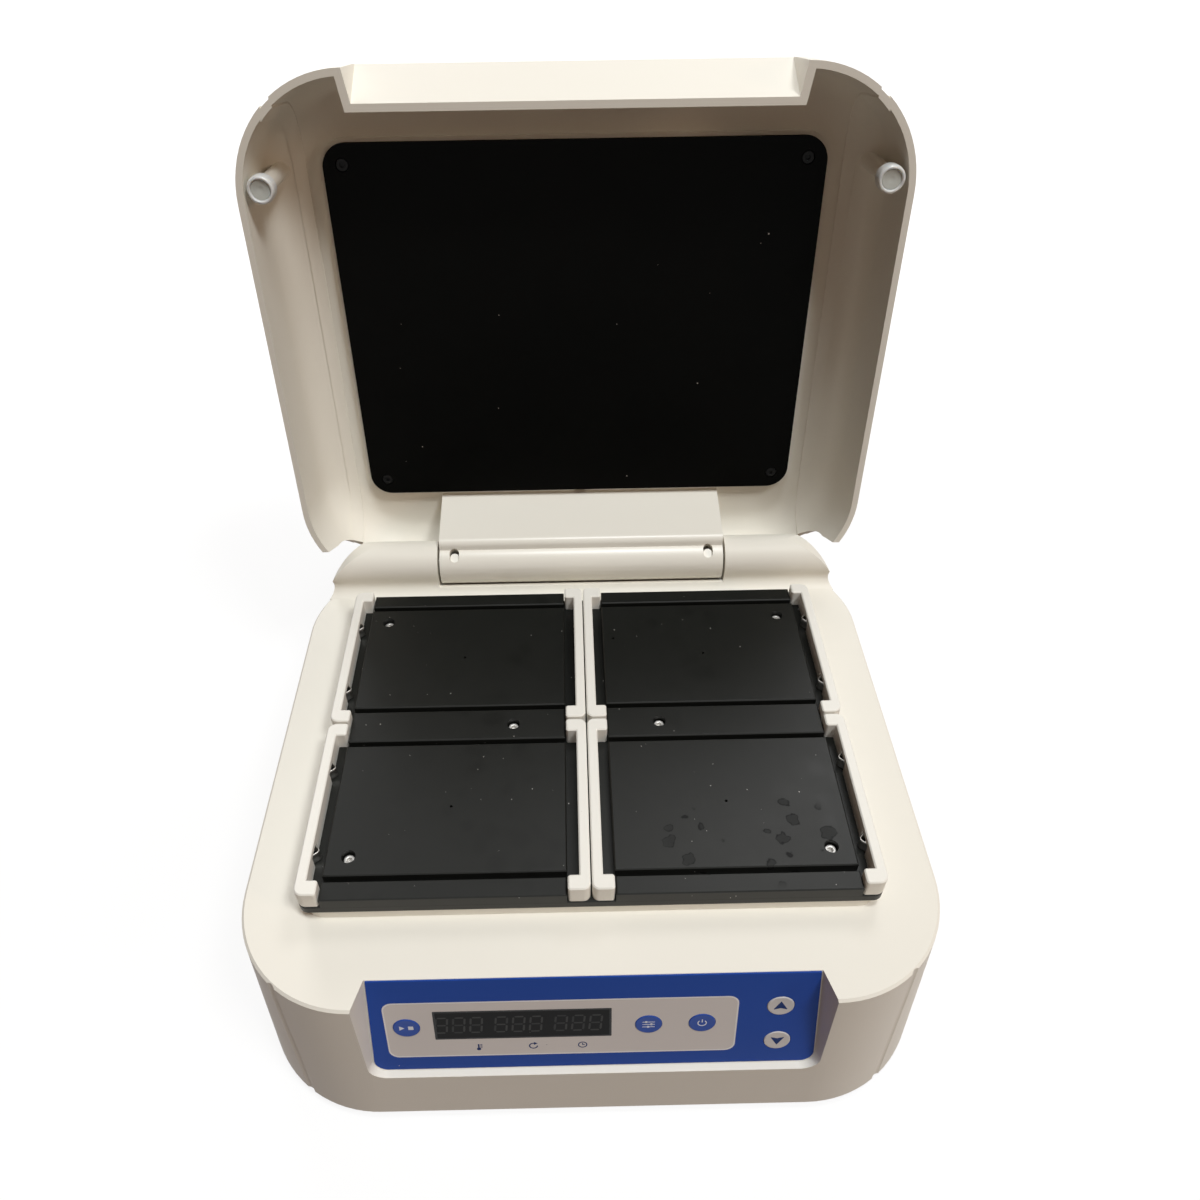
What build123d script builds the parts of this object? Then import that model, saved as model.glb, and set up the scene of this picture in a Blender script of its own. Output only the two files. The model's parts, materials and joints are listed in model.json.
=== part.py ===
from build123d import *
import math
import os

os.makedirs("parts", exist_ok=True)

# Four-position microplate incubator with an orbital drive under a heated block
# and a hinged lid, modelled with the lid open.  Millimetres, +Z up, +Y to the
# rear.  The origin is on the surface that the feet stand on, under the middle
# of the base.

# ------------------------------------------------------------- base casing
BASE_HALF_X = 171.0        # half width at deck level
BASE_HALF_Y = 151.0        # half depth at deck level
BASE_CORNER_R = 61.0       # plan corner radius at deck level
DECK_Z = 114.0             # top face of the deck
SKIRT_Z = 10.0             # lower edge of the casing
WALL_FLARE = 7.2           # the wall leans out by this much down to the skirt
CASING_WALL = 3.0
DECK_EDGE_CHAMFER = 1.2
BLEND = 0.5                # how far fused features run into each other

# styling groove at the four corners, shared by base, ridge and lid
GROOVE_X = BASE_HALF_X - 22.5
GROOVE_WIDTH = 5.0
GROOVE_DEPTH = 0.8
GROOVE_BACKING = 0.8       # the raised band inside is wider by this each side

# ------------------------------------------------------------ hinge ridge
RIDGE_R = 14.0             # the ridge is concentric with the hinge
HINGE_Y = BASE_HALF_Y - RIDGE_R
HINGE_Z = DECK_Z + 13.8
RIDGE_FOOT_Y = HINGE_Y - 18.8  # the crease where its front face leaves the deck
RIDGE_FOOT_ANGLE = 14.0    # degrees, slope of the front face at the crease
RIDGE_FLAT_X = BASE_HALF_X - 38.0  # the crest is straight up to here
RIDGE_END_X = BASE_HALF_X - 6.5    # and is back on the deck here
RIDGE_NOTCH_X = 92.5       # half length of the notch for the barrel
TROUGH_CLEARANCE = 1.2     # barrel to trough
TROUGH_LIP_RISE = 3.9      # front lip of the trough above the deck
LID_OPEN = 97.7            # degrees open, as modelled

# ------------------------------------------------- front recess and panel
RECESS_TILT = 12.98        # degrees from vertical
RECESS_TOP_Y = 14.7 - BASE_HALF_Y  # floor of the recess at deck level
RECESS_BOTTOM_Z = 48.6
RECESS_TOP_HALF_X = 106.0
RECESS_BOTTOM_HALF_X = 109.1
RECESS_CORNER_R = 7.5
RECESS_SPLAY = 15.7        # degrees the recess sides open out
RECESS_OVER = 14.0         # the cut runs past the deck edge by this much
RECESS_REACH = 24.0        # and this far out of the front
PANEL_THICK = 0.8
PANEL_GAP = 0.8            # edge of the panel to the side of the recess
PANEL_TOP_GAP = 0.3
FIELD_THICK = 0.3          # inlay in the panel
FIELD_CENTRE = (-15.65, -3.0)
FIELD_SIZE = (168.1, 40.6)
FIELD_CORNER_R = 5.0
DISPLAY_CENTRE = (-34.0, 0.3)
DISPLAY_SIZE = (84.5, 20.5)
DISPLAY_BOARD = (92.0, 34.0)
KEY_CENTRES = {
    "key_start": (-89.5, -0.8),
    "key_set": (26.1, -2.0),
    "key_off": (51.7, -1.8),
    "key_up": (88.4, 9.5),
    "key_down": (88.9, -16.4),
}
KEY_D = 12.8
KEY_CLEARANCE = 0.2        # radial, key to panel and casing
KEY_PROUD = 0.3            # above the panel
KEY_DISH = 0.15            # shallow finger dish
KEY_DISH_SHARE = 0.8       # of the key diameter
KEY_FLANGE_D = 15.4
KEY_FLANGE_THICK = 1.0
KEY_FLANGE_GAP = 0.3       # flange to the back of the casing wall
KEY_TRAVEL = 0.4
SWITCH_REST_GAP = 0.1      # left between key and switch at full travel
SWITCH_SIZE = 6.0
BOARD_STANDOFF = 5.0       # casing wall to the panel boards
BOARD_THICK = 1.6
BOARD_POST_D = 4.0
POST_INSET = 3.5           # post centres from the edges of a board
KEY_BOARDS = (((-91.0, -1.0), (20.0, 30.0)), ((57.0, -3.0), (86.0, 48.0)))

# -------------------------------------------------- opening in the deck
STATION_CENTRE_Y = -2.0    # middle of block, opening and drive
OPENING_HALF_X = 137.6
OPENING_HALF_Y = 99.8
OPENING_CORNER_R = 9.0
RIM_WALL = 3.0
RIM_RISE = 5.4             # above the deck

# ------------------------------------------------------ platform stack
ORBIT_R = 1.0              # shaking radius
RIM_TO_BLOCK = 1.0         # the block floats above the rim
BLOCK_HALF_X = 140.2
BLOCK_HALF_Y = 103.5
BLOCK_CORNER_R = 5.0
BLOCK_SLAB = 4.6           # thickness under the ledge
BLOCK_EDGE = 0.6           # chamfer on the upper edges of block and plateaus
PLATEAU_RISE = 6.4
PLATE_LENGTH = 127.76      # the microplate that each nest is for
PLATE_WIDTH = 85.48
NEST_CLEARANCE_X = 1.54    # whole play along X
NEST_CLEARANCE_Y = 0.72    # whole play along Y
BRACKET_WALL = 5.3
BRACKET_RISE = 11.0
HOOK_LENGTH = 5.5
HOOK_THICK = 8.06
BRACKET_CORNER_R = 4.5     # outer brackets
INNER_CORNER_R = 3.5       # inner brackets
HOOK_EDGE_R = 1.5
BRACKET_EDGE = 0.7         # chamfer on the upper edges
STATION_GAP_X = 0.7        # between the two inner brackets
STATION_GAP_Y = 1.5        # between front and rear brackets
PLATEAU_INSET_X = 5.8      # nest wall to plateau side
PLATEAU_INSET_Y = 4.4      # hook face to plateau side
STRIP_GAP = 3.0            # plateau to the strip beside it
STRIP_HOOK_GAP = 0.5       # strip to hook tips
PEG_D = 4.0
PEG_LENGTH = 3.4           # from the ledge down
PEG_CLEARANCE = 0.05
BLOCK_SCREW_D = 3.0
BLOCK_SCREW_HEAD_D = 5.4
BLOCK_SCREW_HEAD = 2.6
BLOCK_SCREW_HEX = 2.6
BLOCK_SCREW_SHORT = 1.0    # the shank ends above the underside of the platform
SOCKET_SHARE = 0.6         # depth of a hex socket as a share of its head
COUNTERBORE_D = 7.0
COUNTERBORE_DEPTH = 5.5
SCREW_INSET = (11.1, 10.4) # nest screws from the plateau corner
MIDDLE_SCREW_X = 40.0
WELL_D = 1.5               # small thermometer wells in the plateaus
WELL_DEPTH = 4.0
WELLS = ((-69.9, 48.1), (69.7, 48.0), (-70.0, -54.6), (70.0, -54.8), (17.6, 61.3))
SENSOR_D = 4.0
SENSOR_X = 22.0
SENSOR_DEPTH = 8.0
HEATER_THICK = 1.2
HEATER_INSET = 8.5         # from the block edges
PAD_THICK = 6.0
PAD_INSET = 10.5
PLATFORM_THICK = 8.0
PLATFORM_HALF_X = 125.0
PLATFORM_HALF_Y = 88.0
PLATFORM_CORNER_R = 8.0
HOLE_CLEARANCE = 0.2       # radial, screws in through holes

# leaf springs in the outer brackets
SPRING_THICK = 0.5
SPRING_SETBACK = 1.7       # strip behind the inner face of the wall
SPRING_BULGE = 2.3         # how far the bulges stand into the nest
SPRING_HALF_LENGTH = 31.0
SPRING_TRAVEL = 1.5
SPRING_FLOOR_GAP = 0.3
SPRING_TOP_GAP = 0.4
BULGE_PITCH = 49.6
BULGE_HALF_LENGTH = 3.6
BULGE_TIP_HALF = 0.5
WINDOW_LENGTH = 10.0
WINDOW_TOP = 3.5           # below the top of the wall
SLOT_PLAY = 0.3            # round the strip

# ------------------------------------------------------- orbital drive
CHASSIS_Z = 66.0
CHASSIS_THICK = 5.0
CHASSIS_HALF_X = 124.0
CHASSIS_HALF_Y = 88.0
CHASSIS_CORNER_R = 10.0
CHASSIS_WINDOW = (84.0, 34.0, 6.0)   # lightening window: size and corner radius
CHASSIS_WINDOW_AT = (30.0, 55.0)
COLUMN_D = 14.0
COLUMN_X = 114.0
COLUMN_Y = 78.0
RUNNING_FIT = 0.05         # radial clearance of a shaft in its bearing
AXIAL_PLAY = 0.4
CRANK_D = 12.0
CRANK_BEARING_D = 28.0
CRANK_BEARING_WIDTH = 8.0
CRANK_BOSS_D = 38.0
CRANK_BOSS_LIP = 1.0
BEARING_LIP = 2.0          # width of the lip that a bearing sits on
CRANK_TAIL = 1.5           # shaft below its lower bearing
CRANK_SHOULDER_D = 16.0
CRANK_DISC_D = 26.0
CRANK_DISC_THICK = 3.0
PIN_COLLAR = 2.0           # the pin's collar is wider by this each side
PIN_D = 8.0
PIN_BEARING_D = 22.0
PIN_BEARING_WIDTH = 7.0
PULLEY_Z = 77.0
PULLEY_HEIGHT = 10.0
PULLEY_FLANGE = 0.9        # thickness of each pulley flange
PULLEY_FLANGE_RISE = 2.2
CRANK_PULLEY_R = 30.0
CRANK_PULLEY_HOLES = 6
CRANK_PULLEY_HOLE_D = 11.0
CRANK_PULLEY_HOLE_RING = 19.0
MOTOR_PULLEY_R = 12.0
BELT_GAP = 0.3
BELT_THICK = 1.5
COUNTERWEIGHT_R = 45.0
COUNTERWEIGHT_HUB_D = 24.0
COUNTERWEIGHT_SPACER = 1.0
COUNTERWEIGHT_THICK = 9.0
MOTOR_X = -62.0
MOTOR_D = 50.0
MOTOR_LENGTH = 40.0
MOTOR_BOSS_D = 20.0
MOTOR_BOSS_RISE = 2.0
MOTOR_EDGE = 2.0
MOTOR_SHAFT_D = 6.0
MOTOR_SHAFT_DEPTH = 6.0
MOTOR_SHAFT_PROUD = 2.0    # above its pulley
IDLER_X = 100.0
IDLER_Y = 60.0
IDLER_D = 8.0
IDLER_TOP_D = 6.0
IDLER_BEARING_D = 19.0
IDLER_TOP_BEARING_D = 15.0
IDLER_BEARING_WIDTH = 9.0
IDLER_BOSS_D = 25.0
IDLER_WEB_D = 18.0
IDLER_WEB = 5.0
IDLER_STEM_D = 9.0

# ----------------------------------------------- underside and contents
PLATE_Z = 10.5             # underside of the bottom plate
PLATE_THICK = 2.0
PLATE_GAP = 0.5            # to the casing wall
POST_D = 9.0
POST_X = OPENING_HALF_X + 10.4
POST_XY = ((POST_X, -98.0), (POST_X, 96.0))
CASE_SCREW_D = 4.0
CASE_SCREW_HEAD_D = 7.6
CASE_SCREW_HEAD = 2.2
CASE_SCREW_REACH = 12.0
FOOT_INSET = 39.0
FOOT_XY = (BASE_HALF_X - FOOT_INSET, BASE_HALF_Y - FOOT_INSET)
FOOT_D = 26.0
FOOT_TAPER = 2.0
FOOT_RECESS_D = 12.0
FOOT_RECESS = 5.0
STANDOFF_D = 7.0
STANDOFF = 5.0
MAIN_BOARD_CENTRE = (43.0 - BASE_HALF_X, -10.0)
MAIN_BOARD_SIZE = (72.0, 116.0)
CAPACITOR = (12.0, 18.0)   # diameter and height
CAPACITORS = ((-20.0, -40.0), (-5.0, -40.0), (10.0, -40.0))
# heatsink, controller and connector row: centre, size and height on the board
BOARD_PARTS = (((-4.0, -13.0), (36.0, 10.0), 14.0),
               ((0.0, 14.0), (24.0, 16.0), 4.0),
               ((-3.0, 46.5), (54.0, 9.0), 11.0))
SUPPLY_CENTRE = (BASE_HALF_X - 39.0, -10.0)
SUPPLY_SIZE = (56.0, 112.0, 34.0)
SUPPLY_SLOTS = 7
SUPPLY_SLOT_PITCH = 11.0
SUPPLY_SLOT = 4.0          # width, and twice the depth
SUPPLY_SLOT_SHARE = 0.6    # length as a share of the width of the supply

# ---------------------------------------------------------- rear wall
FAN_X = -62.0
FAN_Z = 58.0
FAN_SIZE = 60.0
FAN_DEPTH = 15.0
FAN_BORE = 57.0
FAN_HUB_D = 24.0
FAN_CORNER_R = 4.0
FAN_SCREW_D = 4.4
FAN_SCREW_AT = 25.0
FAN_STRUT = 3.0
FAN_TIP_GAP = 1.0
FAN_GAP = (0.5, 1.0)       # rotor to the stator and to the slots
FAN_CHORD_SHARE = 0.86     # of the chord that would fill the rotor depth
FAN_BLADE_THICK = 1.3
FAN_BLADE_ROOT = 1.0       # blades run this far into the hub
FAN_BLADES = 7
FAN_PITCH = 38.0           # blade angle, degrees
FAN_SHAFT_D = 3.0
FAN_STATOR = 2.5
SLOT_COUNT = 7
SLOT_HEIGHT = 3.6
SLOT_PITCH = 7.4
VENT_R = 27.0
INLET_X = 72.0
INLET_Z = 58.0
INLET_FLANGE = (32.0, 66.0, 2.5)
INLET_CORNER_R = 3.0
INLET_BODY = (27.0, 58.0, 22.0)
INLET_CUT_GAP = 0.3
SOCKET_SIZE = (24.2, 16.6, 16.0)
SOCKET_V = -13.0
SOCKET_CORNER = 4.5
BLADE_SIZE = (2.0, 4.0, 12.0)
BLADES = ((-7.0, -2.0), (7.0, -2.0), (0.0, 2.0))
ROCKER_SIZE = (12.0, 18.0)
ROCKER_V = 15.0
ROCKER_PIVOT = -3.0        # below the wall face
ROCKER_DEPTH = 8.0
ROCKER_PROUD = 4.8
ROCKER_HOLLOW = 1.4        # sag of its dished face
ROCKER_FLOOR = 3.0         # room under the rocker in its well
ROCKER_THROW = 16.0        # degrees between off and on
ROCKER_GAP = 0.5
ROCKER_SWING_GAP = 1.8
ROCKER_AXLE_D = 3.0
ROCKER_AXLE = 1.4

# ---------------------------------------------------------------- lid
LID_GAP = 0.5              # rim above the deck when closed
LID_TOP_Z = 166.5          # roof when closed
LID_DRAFT = 3.8            # the wall leans in by this much up to the roof
LID_WALL = 3.5
LID_SHOULDER_R = 24.0
LID_ARCH_R = 20.9          # opening in the rear corners round the ridge
LID_ARCH_BACK = 6.3        # its centre is behind the hinge by this much
LID_ARCH_FOOT = 0.8        # its foot is behind the ridge crease by this much
GRIP_HALF_X = 107.5        # finger notch in the front wall
GRIP_TOP_HALF_X = 110.0
GRIP_Y = 15.4 - BASE_HALF_Y  # notch face at the rim
GRIP_TILT = 20.5           # degrees from vertical
GRIP_REACH = 46.0          # length of the notch face along its slope
GRIP_SPLAY = 9.2
GRIP_OVER = 12.0           # the cut runs past the rim by this much
GRIP_OUT = 30.0            # and this far out of the front
LINING_HALF_X = BASE_HALF_X - 35.5
LINING_Y = (40.4 - BASE_HALF_Y, BASE_HALF_Y - 49.8)
LINING_CORNER_R = 13.0
LINING_THICK = 2.5
LINING_STANDOFF = 3.5      # roof to lining plate
LINING_FRAME = 2.0         # the seat shows round the plate by this much
LINING_SEAT = 5.0          # width of the seat
LINING_SEAT_GAP = 7.0      # break in the seat at the rear
LINING_SCREW_X = LINING_HALF_X - 10.5
LINING_SCREW_Y = (LINING_Y[0] + 10.9, LINING_Y[1] - 9.9)
LINING_SCREW_D = 3.0
LINING_SCREW_HEAD_D = 6.4
LINING_SCREW_HEAD = 1.8    # depth of the recess for the head
LINING_SCREW_SUNK = 0.3    # the head is below the plate face by this much
LINING_SCREW_BITE = 1.0    # the shank goes into the boss by this much
LINING_BOSS_D = 9.0
BUMPER_XY = (BASE_HALF_X - 12.5, 53.7 - BASE_HALF_Y)
BUMPER_D = 14.0
BUMPER_HEIGHT = 7.0
BUMPER_LIFT = 0.3          # above the deck when closed
BUMPER_POST_D = 9.0
BUMPER_HOLE_D = 4.0
BUMPER_TIP = 1.4           # radius lost at the tip
BUMPER_TIP_HEIGHT = 1.2
BUMPER_RING = (7.0, 10.6)  # groove in the tip, inner and outer diameter
BUMPER_RING_DEPTH = 0.8
BUMPER_RIB = 2.4
BUMPER_RIB_SETBACK = 4.0   # rib above the seat of the bumper
BUMPER_PEG_SHORT = 3.0     # the peg ends above the tip of the bumper
BARREL_R = 14.0
BARREL_HALF_X = 91.0
ARM_THICK = 4.0
ARM_KNEE_R = 5.0
ARM_KNEE = (-18.6, -5.5)   # from the hinge axis, closed
ARM_START = (-12.7, -5.9)
ARM_IN_BARREL = ((-8.4, 4.0), (-7.0, -5.0))   # corners hidden in the barrel
RIB_IN_BARREL = ((-3.5, 11.2), (-8.4, 2.0))
ARM_ROOT_Y = -33.0
ARM_FLANGE = 21.0
ARM_FLANGE_THICK = 3.0
ARM_FOOT_RISE = 2.0        # along the arm, where its inner face meets the barrel
ARM_RIB_INSET = 2.0        # rib ends inside the arm and the flange
ARM_RIB = 3.0
ARM_RIB_X = (-88.5, -45.0, 0.0, 45.0, 88.5)
HINGE_PIN_D = 8.0
HINGE_PIN_INNER_X = 66.0
HINGE_PIN_OUTER_X = 115.0
HINGE_PIN_HOLE = 0.4       # radial, pin to the casing wall
DAMPER_D = 21.0
DAMPER_LENGTH = 21.0
CLAMP_X = 81.5
CLAMP_ANGLE = 219.7        # round the barrel, closed
CLAMP_HOLE = (6.0, 9.0)
CLAMP_SCREW_D = 4.0
CLAMP_SCREW_LENGTH = 6.0
CLAMP_SCREW_HEAD = 2.0
CLAMP_SCREW_GAP = 0.2      # radial, head to slot

# --------------------------------------------------------- derived sizes
CASING_HEIGHT = DECK_Z - SKIRT_Z
WALL_ANGLE = math.degrees(math.atan2(WALL_FLARE, CASING_HEIGHT))
RIM_TOP_Z = DECK_Z + RIM_RISE
BLOCK_Z = RIM_TOP_Z + RIM_TO_BLOCK
LEDGE_Z = BLOCK_Z + BLOCK_SLAB
PLATEAU_Z = LEDGE_Z + PLATEAU_RISE
BRACKET_TOP_Z = LEDGE_Z + BRACKET_RISE
HEATER_Z = BLOCK_Z - HEATER_THICK
PAD_Z = HEATER_Z - PAD_THICK
PLATFORM_Z = PAD_Z - PLATFORM_THICK
CHASSIS_TOP = CHASSIS_Z + CHASSIS_THICK
PLATE_TOP = PLATE_Z + PLATE_THICK
NEST_X = PLATE_LENGTH + NEST_CLEARANCE_X
NEST_Y = PLATE_WIDTH + NEST_CLEARANCE_Y
STATION_X = STATION_GAP_X / 2 + BRACKET_WALL + NEST_X / 2
STATION_DY = STATION_GAP_Y / 2 + HOOK_THICK + NEST_Y / 2
BRACKET_HALF_Y = NEST_Y / 2 + HOOK_THICK
PLATEAU_HALF = (NEST_X / 2 - PLATEAU_INSET_X, NEST_Y / 2 - PLATEAU_INSET_Y)
CRANK_X = -ORBIT_R
CRANK_SEAT_Z = CHASSIS_TOP - AXIAL_PLAY - 2 * CRANK_BEARING_WIDTH
COUNTERWEIGHT_Z = PULLEY_Z + PULLEY_HEIGHT + COUNTERWEIGHT_SPACER
COUNTERWEIGHT_TOP = COUNTERWEIGHT_Z + COUNTERWEIGHT_THICK
LID_RIM_Z = DECK_Z + LID_GAP
LID_INNER_Z = LID_TOP_Z - LID_WALL
LINING_TOP_Z = LID_INNER_Z - LINING_STANDOFF
LINING_Z = LINING_TOP_Z - LINING_THICK
STATIONS = {"front_left": (-1, -1), "front_right": (1, -1),
            "rear_left": (-1, 1), "rear_right": (1, 1)}


def disc(diameter, z0, z1, x=0.0, y=0.0):
    """Upright cylinder between two heights."""
    return Pos(x, y, (z0 + z1) / 2) * Cylinder(diameter / 2, z1 - z0)


def block(x0, x1, y0, y1, z0, z1):
    """Box between two corners."""
    return Pos((x0 + x1) / 2, (y0 + y1) / 2, (z0 + z1) / 2) * Box(x1 - x0, y1 - y0, z1 - z0)


def bar_x(diameter, x0, x1, y, z):
    """Cylinder along X."""
    return Pos((x0 + x1) / 2, y, z) * Rot(0, 90, 0) * Cylinder(diameter / 2, x1 - x0)


def pad(half_x, half_y, radius, z0, z1, y=0.0):
    """Plate with rounded corners, standing on z0."""
    face = Pos(0, y, z0) * RectangleRounded(2 * half_x, 2 * half_y, radius)
    return extrude(face, z1 - z0, dir=(0, 0, 1))


def plan(z, half_x, half_y, radius):
    """Rounded outline at height z."""
    return (Pos(0, 0, z) * RectangleRounded(2 * half_x, 2 * half_y, radius)).face()


def base_plan(z, inset=0.0):
    """Outline of the base wall at height z, moved in by inset."""
    out = WALL_FLARE * (DECK_Z - z) / CASING_HEIGHT - inset
    return plan(z, BASE_HALF_X + out, BASE_HALF_Y + out, BASE_CORNER_R + out)


def wall_form(inset, z0, z1):
    """Drafted body of the base between two heights."""
    return loft([base_plan(z0, inset), base_plan(z1, inset)])


def mirrored(solid):
    """The solid and its mirror image across the middle plane x = 0."""
    return [solid, mirror(solid, about=Plane.YZ)]


def groove_slabs(extra=0.0):
    """Upright slabs that the styling groove of the lid is cut in."""
    half = GROOVE_WIDTH / 2 + extra
    span = 2 * BASE_HALF_Y
    return [block(s * GROOVE_X - half, s * GROOVE_X + half, -span, span, -span, 2 * span)
            for s in (-1, 1)]


def base_coves():
    """Round bars that hollow out the soft grooves at the corners of the base."""
    bar_r = ((GROOVE_WIDTH / 2) ** 2 + GROOVE_DEPTH ** 2) / (2 * GROOVE_DEPTH)
    across = GROOVE_X - (BASE_HALF_X - BASE_CORNER_R)
    ends = []
    for z in (SKIRT_Z, DECK_Z):
        wall_r = BASE_CORNER_R + WALL_FLARE * (DECK_Z - z) / CASING_HEIGHT
        along = math.sqrt(wall_r ** 2 - across ** 2)
        out = 1 + (bar_r - GROOVE_DEPTH) / wall_r
        ends.append(Vector(BASE_HALF_X - BASE_CORNER_R + across * out,
                           BASE_HALF_Y - BASE_CORNER_R + along * out, z))
    way = (ends[1] - ends[0]).normalized()
    start = ends[0] - way * CASING_WALL
    run = (ends[1] - ends[0]).length + 2 * CASING_WALL
    bar = extrude(Plane(origin=start, z_dir=way) * Circle(bar_r), run)
    right = [bar, mirror(bar, about=Plane.XZ)]
    return right + [mirror(b, about=Plane.YZ) for b in right]


# ------------------------------------------------------------ base casing
def ridge(inset=0.0):
    """Hinge ridge along the rear edge with all its faces moved in by inset."""
    rise = HINGE_Z - DECK_Z
    reach = HINGE_Y - RIDGE_FOOT_Y
    a = math.radians(RIDGE_FOOT_ANGLE)
    foot_r = (reach ** 2 + rise ** 2 - RIDGE_R ** 2) / (
        2 * (RIDGE_R + rise * math.cos(a) - reach * math.sin(a)))
    down = Vector(math.sin(a), -math.cos(a))
    foot = Vector(RIDGE_FOOT_Y, DECK_Z) - down * foot_r
    axis = Vector(HINGE_Y, HINGE_Z)
    touch = foot + (axis - foot) * (foot_r / (foot_r + RIDGE_R))
    touch = foot + (touch - foot).normalized() * (foot_r + inset)
    low = foot + down * (foot_r + inset)
    mid_foot = foot + ((touch - foot).normalized() + down).normalized() * (foot_r + inset)
    r = RIDGE_R - inset
    base_z = DECK_Z - inset - BLEND
    front = ThreePointArc((low.X, low.Y), (mid_foot.X, mid_foot.Y), (touch.X, touch.Y))
    left = (touch - axis).normalized()
    over = (left + Vector(0, 1)).normalized()
    crest = ThreePointArc((touch.X, touch.Y), (axis.X + over.X * r, axis.Y + over.Y * r),
                          (axis.X, axis.Y + r))
    back = ThreePointArc((axis.X, axis.Y + r),
                         (axis.X + r * math.sqrt(0.5), axis.Y + r * math.sqrt(0.5)),
                         (axis.X + r, axis.Y))
    tail = Polyline((axis.X + r, axis.Y), (axis.X + r, base_z), (low.X, base_z), (low.X, low.Y))
    profile = make_face([front, crest, back, tail])
    along = extrude(Plane.YZ.offset(-BASE_HALF_X) * profile, 2 * BASE_HALF_X)
    # rounded ends, seen from the front
    crest_z = HINGE_Z + RIDGE_R
    run = RIDGE_END_X - RIDGE_FLAT_X
    drop = crest_z - DECK_Z
    end_r = (run ** 2 + drop ** 2) / (2 * drop)
    side_r = end_r - inset
    cz = crest_z - end_r
    ends = make_face([
        Line((0, crest_z - inset), (RIDGE_FLAT_X, crest_z - inset)),
        ThreePointArc((RIDGE_FLAT_X, cz + side_r),
                      (RIDGE_FLAT_X + side_r * math.sqrt(0.5), cz + side_r * math.sqrt(0.5)),
                      (RIDGE_FLAT_X + side_r, cz)),
        Polyline((RIDGE_FLAT_X + side_r, cz), (RIDGE_FLAT_X + side_r, cz - end_r),
                 (0, cz - end_r), (0, crest_z - inset)),
    ])
    half = extrude(Plane.XZ.offset(-2 * BASE_HALF_Y) * ends, 2 * BASE_HALF_Y)
    outline = extrude(plan(base_z, BASE_HALF_X - inset, BASE_HALF_Y - inset,
                           BASE_CORNER_R - inset), crest_z - base_z, dir=(0, 0, 1))
    return along & (half + mirror(half, about=Plane.YZ)) & outline


def panel_plane(depth=0.0):
    """Plane of the recess floor; z points out of the front, y up the slope."""
    tilt = math.radians(RECESS_TILT)
    mid_z = (DECK_Z + RECESS_BOTTOM_Z) / 2
    mid_y = RECESS_TOP_Y - (DECK_Z - mid_z) * math.tan(tilt)
    normal = Vector(0, -math.cos(tilt), math.sin(tilt))
    return Plane(origin=Vector(0, mid_y, mid_z) + normal * depth, x_dir=(1, 0, 0), z_dir=normal)


PANEL_HALF_V = (DECK_Z - RECESS_BOTTOM_Z) / 2 / math.cos(math.radians(RECESS_TILT))
LAYOUT_SHIFT = 0.3         # layout centres are taken from this far above mid slope


def recess_outline(grow, top_over):
    """Recess outline on its floor, wider by grow, running over the top edge."""
    slope = (RECESS_BOTTOM_HALF_X - RECESS_TOP_HALF_X) / (2 * PANEL_HALF_V)
    top = PANEL_HALF_V + top_over
    low = -PANEL_HALF_V - grow
    x_top = RECESS_TOP_HALF_X + grow - slope * top_over
    x_low = RECESS_BOTTOM_HALF_X + grow + slope * grow
    face = make_face(Polyline((-x_top, top), (x_top, top), (x_low, low), (-x_low, low), close=True))
    corners = face.vertices().filter_by(lambda v: v.Y < 0)
    return fillet(corners, RECESS_CORNER_R + grow)


def recess_tool(grow, depth):
    """Body that opens outwards from the recess floor."""
    face = panel_plane(depth) * recess_outline(grow, RECESS_OVER)
    return extrude(face, RECESS_REACH - depth, taper=-RECESS_SPLAY)


def on_panel(solid, centre=(0.0, 0.0)):
    """Put a piece modelled on the recess floor, z outwards, at a layout centre."""
    return panel_plane().location * Pos(centre[0], centre[1] + LAYOUT_SHIFT, 0) * solid


def rear_at(x, z):
    """Place on the outer face of the rear wall; z outwards, y up the wall."""
    y = BASE_HALF_Y + WALL_FLARE * (DECK_Z - z) / CASING_HEIGHT
    a = math.radians(WALL_ANGLE)
    return Plane(origin=(x, y, z), x_dir=(-1, 0, 0), z_dir=(0, math.cos(a), math.sin(a))).location


def board_posts(centre, size):
    """Centres of the four posts that carry a panel board."""
    dx = size[0] / 2 - POST_INSET
    dy = size[1] / 2 - POST_INSET
    return [(centre[0] + sx * dx, centre[1] + sy * dy) for sx in (-1, 1) for sy in (-1, 1)]


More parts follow.
